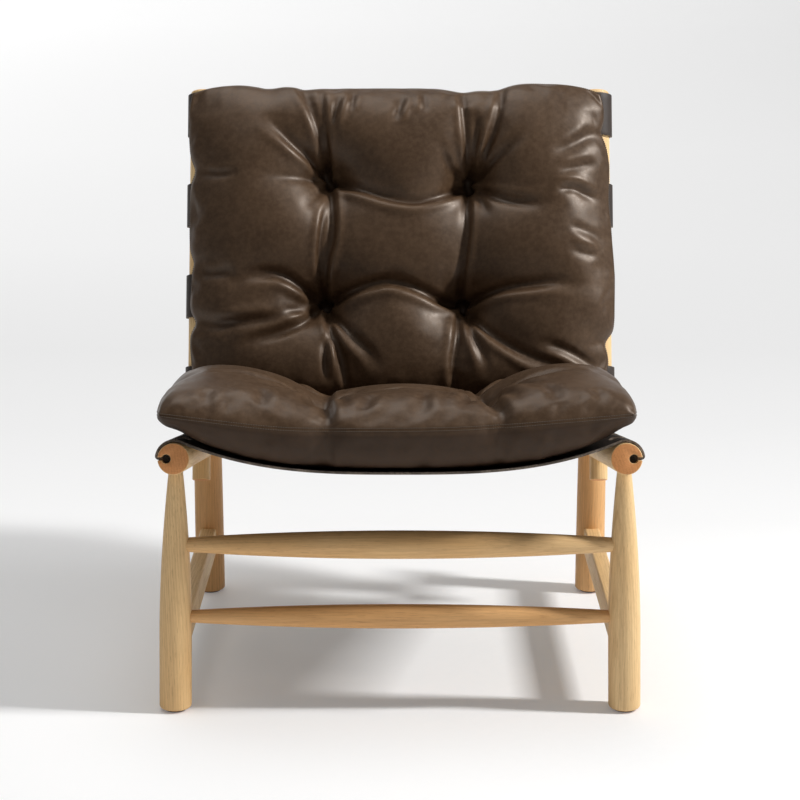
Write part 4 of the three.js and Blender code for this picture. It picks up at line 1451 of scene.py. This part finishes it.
SEAT_CREASES = (
    ("edge", 0.014, 0.009, 0.3, ((-107, -85), (-103, -160), (-98, -234))),
    ("out", 0.005, 0.009, -0.4, ((-112, -105), (-126, -180), (-142, -226))),
    ("loose", 0.004, 0.01, 0.5, ((-189, -170), (-191, -232))),
    ("out", 0.006, 0.008, -0.5, ((-98, -98), (-80, -160), (-78, -226))),
    ("loose", 0.004, 0.01, 0.4, ((-36, -165), (-48, -205), (-62, -230))),
    ("loose", 0.004, 0.009, 0.4, ((36, -150), (34, -190), (36, -228))),
    ("out", 0.006, 0.008, -0.5, ((112, -95), (98, -170), (88, -226))),
    ("edge", 0.013, 0.01, 0.3, ((122, -85), (128, -170), (142, -232))),
    ("out", 0.006, 0.009, 0.5, ((128, -100), (155, -180), (170, -226))),
    ("loose", 0.004, 0.01, -0.4, ((200, -160), (214, -200), (232, -230))),
    ("loose", 0.003, 0.009, 0.4, ((-262, -190), (-268, -230))),
    ("loose", 0.003, 0.009, 0.4, ((268, -190), (278, -228))),
    ("link", 0.004, 0.007, 0.3, ((-108, -78), (0, -88), (121, -78))),
    ("link", 0.004, 0.007, 0.3, ((-112, 78), (0, 70), (118, 78))),
    ("link", 0.004, 0.007, -0.4, ((-108, -78), (-104, 0), (-112, 78))),
    ("link", 0.004, 0.007, 0.4, ((121, -78), (114, 0), (118, 78))),
    ("out", 0.005, 0.009, -0.4, ((-112, -78), (-190, -86), (-290, -100))),
    ("out", 0.005, 0.009, 0.4, ((124, -78), (200, -86), (290, -100))),
    ("out", 0.005, 0.009, 0.4, ((-116, 78), (-190, 86), (-290, 98))),
    ("out", 0.005, 0.009, -0.4, ((122, 78), (200, 86), (290, 98))),
    ("out", 0.006, 0.009, -0.4, ((-114, 82), (-150, 130), (-200, 180))),
    ("out", 0.006, 0.009, 0.4, ((120, 82), (158, 130), (205, 180))),
    ("out", 0.005, 0.008, -0.4, ((-110, 84), (-104, 140), (-110, 200))),
    ("out", 0.005, 0.008, 0.4, ((116, 84), (110, 140), (114, 200))),
    ("out", 0.004, 0.009, -0.4, ((-112, -84), (-160, -130), (-220, -170))),
    ("out", 0.004, 0.009, 0.4, ((126, -84), (170, -130), (228, -170))),
    ("out", 0.003, 0.008, -0.4, ((-102, 74), (-75, 40), (-50, 15))),
    ("out", 0.003, 0.008, 0.4, ((110, 74), (80, 40), (52, 15))),
    ("out", 0.003, 0.008, 0.4, ((-102, -74), (-70, -50), (-45, -20))),
    ("out", 0.003, 0.008, -0.4, ((114, -74), (78, -50), (50, -20))),
)

BACK_VALLEYS = (
    ("link", 0.017, 0.034, 0, ((-111, 99), (-70, 88), (-30, 76), (5, 70), (45, 73), (80, 82), (107, 93))),
    ("link", 0.021, 0.036, 0, ((-111, 99), (-106, 40), (-110, 3), (-121, -55), (-117, -97))),
    ("link", 0.021, 0.036, 0, ((107, 93), (101, 29), (96, -15), (91, -56), (94, -98))),
    ("link", 0.017, 0.034, 0, ((-117, -97), (-71, -81), (-42, -75.5), (-15, -70), (7, -72), (30, -78.5), (62, -86.5),
                               (94, -98))),
    ("edge", 0.016, 0.028, 0, ((-111, 99), (-147, 146), (-179, 175.5), (-202, 199), (-206, 225), (-202, 255))),
    ("edge", 0.012, 0.023, 0, ((-111, 99), (-117, 147), (-128, 190), (-150, 250))),
    ("edge", 0.012, 0.023, 0, ((107, 93), (104, 140), (100, 180), (96, 250))),
    ("edge", 0.016, 0.027, 0, ((107, 93), (135, 143), (148, 185), (148, 255))),
    ("out", 0.009, 0.028, 0, ((-111, 99), (-166, 98), (-240, 95))),
    ("edge", 0.012, 0.03, 0, ((107, 93), (158, 66), (210, 55), (300, 66))),
    ("edge", 0.014, 0.03, 0, ((-117, -97), (-148, -74), (-190, -56), (-300, -60))),
    ("edge", 0.013, 0.027, 0, ((-117, -97), (-152, -129), (-200, -150), (-290, -175))),
    ("edge", 0.012, 0.023, 0, ((-117, -97), (-101, -151), (-88, -186), (-75, -250))),
    ("out", 0.016, 0.03, 0, ((94, -98), (132, -81), (188, -66), (240, -61), (315, -72))),
    ("edge", 0.016, 0.028, 0, ((94, -98), (142, -140), (190, -165), (290, -192))),
    ("edge", 0.012, 0.023, 0, ((94, -98), (88, -161), (86, -250))),
    ("edge", 0.01, 0.015, 0, ((-345, 116), (-300, 106), (-270, 100))),
    ("edge", 0.007, 0.013, 0, ((-345, -30), (-300, -34), (-270, -40))),
    ("edge", 0.01, 0.015, 0, ((-345, -124), (-300, -128), (-270, -130))),
    ("edge", 0.01, 0.015, 0, ((345, 180), (300, 160), (270, 146))),
    ("edge", 0.01, 0.015, 0, ((345, -163), (312, -152), (288, -135))),
)

BACK_CREASES = (
    ("out", 0.007, 0.0078, 0.55, ((-116, 105), (-137, 127), (-160, 147), (-195, 180), (-215, 205))),
    ("edge", 0.006, 0.0065, 0.5, ((-113, 108), (-119, 147), (-126, 175), (-138, 208), (-152, 240))),
    ("edge", 0.005, 0.0052, -0.4, ((-111, 110), (-114, 150), (-117, 184), (-122, 236))),
    ("link", 0.007, 0.0078, -0.6, ((-108, 97), (-62, 82), (-19, 66), (20, 60), (59, 69), (104, 91))),
    ("out", 0.003, 0.0078, 0, ((-116, 100), (-166, 97), (-225, 94))),
    ("out", 0.003, 0.0078, 0.4, ((-113, 90), (-132, 66), (-148, 40))),
    ("link", 0.006, 0.0065, 0.6, ((-109, 94), (-104, 41), (-105, 3), (-113, -30), (-117, -62), (-117, -94))),
    ("loose", 0.005, 0.0052, -0.6, ((-110, 70), (-118, 20), (-123, -30), (-120, -80))),
    ("edge", 0.006, 0.0052, 0.5, ((106, 98), (105, 133), (102, 172), (97, 225))),
    ("out", 0.006, 0.0052, -0.5, ((109, 100), (115, 139), (119, 170), (116, 215))),
    ("edge", 0.007, 0.0065, 0.6, ((111, 100), (135, 143), (149, 182), (159, 236))),
    ("out", 0.005, 0.0078, 0.4, ((114, 98), (155, 133), (205, 178))),
    ("out", 0.004, 0.0065, -0.5, ((103, 97), (76, 118), (61, 165))),
    ("out", 0.003, 0.0065, 0.4, ((103, 96), (88, 135), (80, 175))),
    ("out", 0.006, 0.0078, 0.4, ((112, 88), (158, 64), (200, 54), (246, 58))),
    ("loose", 0.006, 0.0078, 0.6, ((235, 74), (265, 78), (285, 72), (308, 60))),
    ("link", 0.006, 0.0065, 0.6, ((107, 88), (100, 29), (95, -14), (92, -53), (93, -93))),
    ("loose", 0.005, 0.0052, -0.5, ((111, 65), (106, 10), (100, -43), (96, -87))),
    ("out", 0.003, 0.0065, 0.4, ((112, 83), (126, 60), (140, 28))),
    ("out", 0.008, 0.0078, 0.5, ((-120, -94), (-148, -74), (-173, -59), (-199, -54), (-260, -58))),
    ("out", 0.003, 0.0065, -0.4, ((-121, -98), (-153, -94), (-185, -90))),
    ("out", 0.004, 0.0065, 0.4, ((-121, -101), (-155, -108), (-190, -108))),
    ("out", 0.007, 0.0078, -0.6, ((-121, -101), (-152, -129), (-194, -148), (-260, -166))),
    ("loose", 0.006, 0.0091, -0.5, ((-165, -120), (-220, -128), (-270, -132), (-312, -134))),
    ("edge", 0.007, 0.0065, -0.6, ((-115, -103), (-101, -151), (-88, -186), (-78, -225))),
    ("out", 0.007, 0.0078, -0.6, ((-112, -102), (-72, -150), (-44, -180), (-22, -215))),
    ("loose", 0.006, 0.0052, 0.6, ((-112, -140), (-114, -180), (-113, -225))),
    ("link", 0.008, 0.0078, -0.55, ((-114, -95), (-71, -77), (-36, -68), (-15, -66), (16, -72), (53, -86), (91, -97))),
    ("out", 0.003, 0.0065, -0.5, ((89, -98), (64, -94), (37, -88))),
    ("out", 0.008, 0.0078, -0.5, ((98, -95), (131, -83), (162, -75), (204, -70), (243, -67), (300, -76))),
    ("out", 0.007, 0.0078, -0.6, ((98, -102), (134, -140), (170, -166), (216, -188), (285, -200))),
    ("loose", 0.006, 0.0078, -0.6, ((205, -158), (245, -168), (280, -183), (312, -203))),
    ("edge", 0.007, 0.0065, -0.5, ((94, -103), (87, -159), (82, -195), (86, -230))),
    ("out", 0.006, 0.0065, -0.6, ((97, -103), (116, -153), (132, -195), (140, -225))),
    ("loose", 0.003, 0.0078, 0.6, ((240, 102), (275, 113), (312, 124))),
    ("loose", 0.003, 0.0078, -0.6, ((255, 22), (285, 13), (316, 4))),
    ("loose", 0.003, 0.0078, 0.6, ((255, -13), (285, -23), (316, -24))),
    ("loose", 0.003, 0.0091, 0.5, ((228, 130), (270, 150), (312, 182))),
    ("loose", 0.003, 0.0065, 0.5, ((-318, 110), (-280, 102), (-240, 104))),
    ("loose", 0.004, 0.0078, 0.5, ((-318, -50), (-285, -53), (-250, -50))),
    ("loose", 0.005, 0.0065, -0.7, ((-108, 170), (-99, 208), (-90, 238))),
    ("loose", 0.004, 0.0065, -0.7, ((-8, 180), (-2, 206), (6, 236))),
    ("loose", 0.003, 0.0052, -0.6, ((-78, 198), (-71, 238))),
    ("loose", 0.003, 0.0052, 0.6, ((40, 196), (36, 238))),
)


class CHAIR_OT_seat_cushion(Operator):
    """Make the loose seat cushion, three by three pillows with four tufts."""

    bl_idname = "chair.seat_cushion"
    bl_label = "Seat Cushion"

    def execute(self, context):
        settings = context.scene.chair_cushion
        sling = context.scene.chair_sling
        high = extent("seat_cushion", seat_place)[1]
        half_width = high.x
        seam_middle, seam_rise = 0.041, 0.021
        middle_crown, side_crown = 0.059, 0.079
        press_share, press_length, press_ramp = 0.72, 0.084, 0.044

        def crown(x, y):
            outwards = ramp_share(0.08, 0.20, np.abs(x))
            front_row = bell(y + 0.165, 0.070)
            fall = 0.008 * ramp_share(0.20, 0.33, np.abs(x))
            return middle_crown + (side_crown - middle_crown) * outwards - 0.011 * outwards * front_row - fall

        form = {
            "tufts": [(-0.108, -0.078), (0.121, -0.078), (-0.112, 0.078), (0.118, 0.078)],
            "valleys": SEAT_VALLEYS,
            "creases": SEAT_CREASES,
            "crown": crown,
            "spare_width": 0.001,
            "shift": -0.0044,
            "outline": {},
            "top_spare": 0.0,
            "under_gathers": 1.3,
            "side_draw": 0.030,
            "end_draw": 0.035,
            "side_fullness": 18,
            "lift_share": 1.0,
            "tuft_depth": settings.seat_tuft_depth,
            "ripple": 0.0005,
            "ripple_seed": 1.7,
            "seam": lambda x: (
                seam_middle + seam_rise * (x / half_width) ** 2 - 0.0035 * bell(x + 0.16, 0.09)
                + 0.002 * bell(x - 0.22, 0.09)
            ),
            "press": lambda y: 1 - press_share * ramp_share(
                high.y - press_length, high.y - press_length + press_ramp, y
            ),
            "support": (-sling.seat_drop, sling.seat_slope),
        }
        make_cushion("leather_seat_cushion", "seat_cushion", "seat_cushion_body", seat_place, form, settings)
        return {"FINISHED"}


class CHAIR_OT_back_cushion(Operator):
    """Make the loose back cushion, three by three pillows with four tufts."""

    bl_idname = "chair.back_cushion"
    bl_label = "Back Cushion"

    def execute(self, context):
        settings = context.scene.chair_cushion
        sling = context.scene.chair_sling
        half_width = extent("back_cushion", back_place)[1].x
        seam_middle, seam_rise = 0.080, 0.004
        swells = ((-0.205, 0.02, 0.012, 0.085), (-0.20, 0.165, 0.008, 0.075), (0.20, 0.0, 0.010, 0.085),
                  (0.20, 0.16, 0.006, 0.075))

        def crown(x, y):
            height = 0.061
            for swell_x, swell_y, rise, radius in swells:
                height = height + rise * bell(np.hypot(x - swell_x, y - swell_y), radius)
            return height

        form = {
            "tufts": [(-0.111, 0.099), (0.107, 0.093), (-0.117, -0.097), (0.094, -0.098)],
            "valleys": BACK_VALLEYS,
            "creases": BACK_CREASES,
            "crown": crown,
            "spare_width": 0.0,
            "shift": 0.0,
            "outline": {
                -1: [(-0.25, -0.001), (-0.14, -0.001), (-0.126, -0.004), (-0.11, -0.001), (0.12, -0.001), (0.15, 0.001),
                     (0.20, 0.006), (0.25, 0.008)],
                1: [(-0.19, 0.000), (-0.161, -0.002), (-0.14, 0.004), (-0.05, 0.005), (0.0, 0.002), (0.06, 0.0),
                    (0.12, -0.001), (0.15, -0.004), (0.25, -0.004)],
            },
            "top_spare": 0.008,
            "under_gathers": 0.0,
            "side_draw": 0.035,
            "end_draw": 0.075,
            "side_fullness": 4,
            "lift_share": 0.97,
            "tuft_depth": settings.back_tuft_depth,
            "ripple": 0.0004,
            "ripple_seed": 4.3,
            "seam": lambda x: seam_middle + seam_rise * (x / half_width) ** 2,
            "press": lambda y: np.ones_like(y),
            "support": (sling.back_standoff, sling.back_slope),
        }
        make_cushion("leather_back_cushion", "back_cushion", "back_cushion_body", back_place, form, settings)
        return {"FINISHED"}


# Stage


def area_lamp(name, place, target, width, height, power):
    lamp = bpy.data.lights.new(name, "AREA")
    lamp.shape = "RECTANGLE"
    lamp.size = width
    lamp.size_y = height
    lamp.energy = power
    piece = bpy.data.objects.new(name, lamp)
    piece.location = place
    piece.rotation_euler = (Vector(target) - Vector(place)).to_track_quat("-Z", "Y").to_euler()
    bpy.context.scene.collection.objects.link(piece)
    return piece


def backdrop_mesh():
    """A floor that curves up into a wall behind the chair."""
    half_width, front, rear, bend, height = 9.0, -7.0, 9.2, 1.2, 5.0
    line = [(front, 0.0), (rear - bend, 0.0)]
    for step in range(1, 17):
        angle = math.pi / 2 * step / 16
        line.append((rear - bend + bend * math.sin(angle), bend * (1 - math.cos(angle))))
    line.append((rear, height))
    vertices = [(x, y, z) for y, z in line for x in (-half_width, half_width)]
    faces = [(2 * k, 2 * k + 1, 2 * k + 3, 2 * k + 2) for k in range(len(line) - 1)]
    mesh = new_mesh("backdrop", vertices, faces)
    shade_smooth(mesh)
    return mesh


def backdrop_material():
    """Matt pale paper. It is lifted towards white where it is seen, and keeps its shadows near the chair."""
    material, tree, principled = new_material("pale_backdrop")
    tree.nodes.remove(principled)
    local = object_place(tree)
    grain = noise_value(tree, local, 60.0, 3.0, 0.5)
    place = shader_node(tree, "ShaderNodeSeparateXYZ", {0: local})
    rise = math_node(tree, "MULTIPLY", place.outputs["Z"], 0.25)
    reach = math_node(tree, "MULTIPLY_ADD", place.outputs["Y"], 0.12, rise)
    paper = ramp(tree, reach, [(0.03, 0.86), (0.066, 0.56), (0.14, 0.45), (0.214, 0.40), (0.344, 0.30)])
    seen_color = mixed(tree, math_node(tree, "MULTIPLY", grain, 0.04), paper, (0.3, 0.3, 0.3))
    seen = shader_node(tree, "ShaderNodeBsdfDiffuse", {"Color": seen_color})
    lift = ramp(
        tree, reach,
        [(0.03, 0.15), (0.066, 0.37), (0.14, 0.42), (0.214, 0.453), (0.344, 0.622), (0.538, 0.695), (0.962, 0.772)],
    )
    evened = math_node(tree, "MULTIPLY_ADD", place.outputs["X"], -0.09, 1.0)
    glow = shader_node(tree, "ShaderNodeEmission", {"Color": lift, "Strength": evened})
    lifted = shader_node(tree, "ShaderNodeAddShader", {0: seen.outputs[0], 1: glow.outputs[0]})
    bounce = shader_node(tree, "ShaderNodeBsdfDiffuse", {"Color": (0.92, 0.92, 0.92, 1)})
    path = shader_node(tree, "ShaderNodeLightPath")
    direct = math_node(tree, "MAXIMUM", path.outputs["Is Camera Ray"], path.outputs["Is Glossy Ray"])
    shown = shader_node(tree, "ShaderNodeMixShader", {0: direct, 1: bounce.outputs[0], 2: lifted.outputs[0]})
    tree.links.new(shown.outputs[0], tree.nodes["Material Output"].inputs["Surface"])
    return material


class CHAIR_OT_stage(Operator):
    """Set the camera, the lamps, the floor and the backdrop."""

    bl_idname = "chair.stage"
    bl_label = "Stage"

    def execute(self, context):
        scene = context.scene
        settings = scene.chair_stage
        lens = bpy.data.cameras.new("camera")
        lens.lens = settings.focal_length
        lens.clip_end = 50
        camera = bpy.data.objects.new("camera", lens)
        camera.location = (0, -settings.camera_distance, settings.camera_height)
        camera.rotation_euler = (math.pi / 2 - settings.camera_pitch, 0, 0)
        scene.collection.objects.link(camera)
        scene.camera = camera
        backdrop = bpy.data.objects.new("backdrop", backdrop_mesh())
        backdrop.data.materials.append(backdrop_material())
        scene.collection.objects.link(backdrop)
        chair_middle = (0, 0, 0.35)
        key_place, key_width, key_height = (6.35, -0.90, 5.60), 0.56, 1.6
        over_place, over_width = (-0.4, 0.5, 3.2), 2.0
        area_lamp("key_lamp", key_place, chair_middle, key_width, key_height, settings.key_power)
        area_lamp("overhead_lamp", over_place, chair_middle, over_width, over_width, settings.over_power)
        world = bpy.data.worlds.new("even_light")
        world.use_nodes = True
        background = world.node_tree.nodes["Background"]
        background.inputs["Color"].default_value = (1, 1, 1, 1)
        background.inputs["Strength"].default_value = settings.world_strength
        seen = shader_node(world.node_tree, "ShaderNodeBackground", {"Color": (0.86, 0.86, 0.86, 1), "Strength": 1.0})
        path = shader_node(world.node_tree, "ShaderNodeLightPath")
        shown = shader_node(
            world.node_tree, "ShaderNodeMixShader",
            {0: path.outputs["Is Camera Ray"], 1: background.outputs[0], 2: seen.outputs[0]},
        )
        world.node_tree.links.new(shown.outputs[0], world.node_tree.nodes["World Output"].inputs["Surface"])
        scene.world = world
        scene.view_settings.view_transform = "Standard"
        return {"FINISHED"}


# Add-on


SETTINGS = {
    "chair_timber": TimberSettings,
    "chair_sling": SlingSettings,
    "chair_cushion": CushionSettings,
    "chair_stage": StageSettings,
}

OPERATORS = (
    CHAIR_OT_stage,
    CHAIR_OT_front_legs,
    CHAIR_OT_rear_legs,
    CHAIR_OT_seat_rails,
    CHAIR_OT_back_posts,
    CHAIR_OT_front_stretchers,
    CHAIR_OT_cross_rails,
    CHAIR_OT_side_boards,
    CHAIR_OT_post_pins,
    CHAIR_OT_glides,
    CHAIR_OT_rods,
    CHAIR_OT_seat_sling,
    CHAIR_OT_back_sling,
    CHAIR_OT_seat_cushion,
    CHAIR_OT_back_cushion,
)


class CHAIR_PT_panel(Panel):
    """The chair's pieces and settings."""

    bl_idname = "CHAIR_PT_panel"
    bl_label = "Sling Lounge Chair"
    bl_space_type = "VIEW_3D"
    bl_region_type = "UI"
    bl_category = "Lounge Chair"

    def draw(self, context):
        layout = self.layout
        for operator in OPERATORS:
            layout.operator(operator.bl_idname)
        for name in SETTINGS:
            group = getattr(context.scene, name)
            column = layout.column(align=True)
            for field in group.__annotations__:
                column.prop(group, field)


def register():
    for name, group in SETTINGS.items():
        bpy.utils.register_class(group)
        setattr(bpy.types.Scene, name, PointerProperty(type=group))
    for operator in OPERATORS:
        bpy.utils.register_class(operator)
    bpy.utils.register_class(CHAIR_PT_panel)


def unregister():
    bpy.utils.unregister_class(CHAIR_PT_panel)
    for operator in reversed(OPERATORS):
        bpy.utils.unregister_class(operator)
    for name, group in reversed(SETTINGS.items()):
        delattr(bpy.types.Scene, name)
        bpy.utils.unregister_class(group)


def main():
    register()
    for operator in OPERATORS:
        category, name = operator.bl_idname.split(".")
        getattr(getattr(bpy.ops, category), name)()


if __name__ == "__main__":
    main()
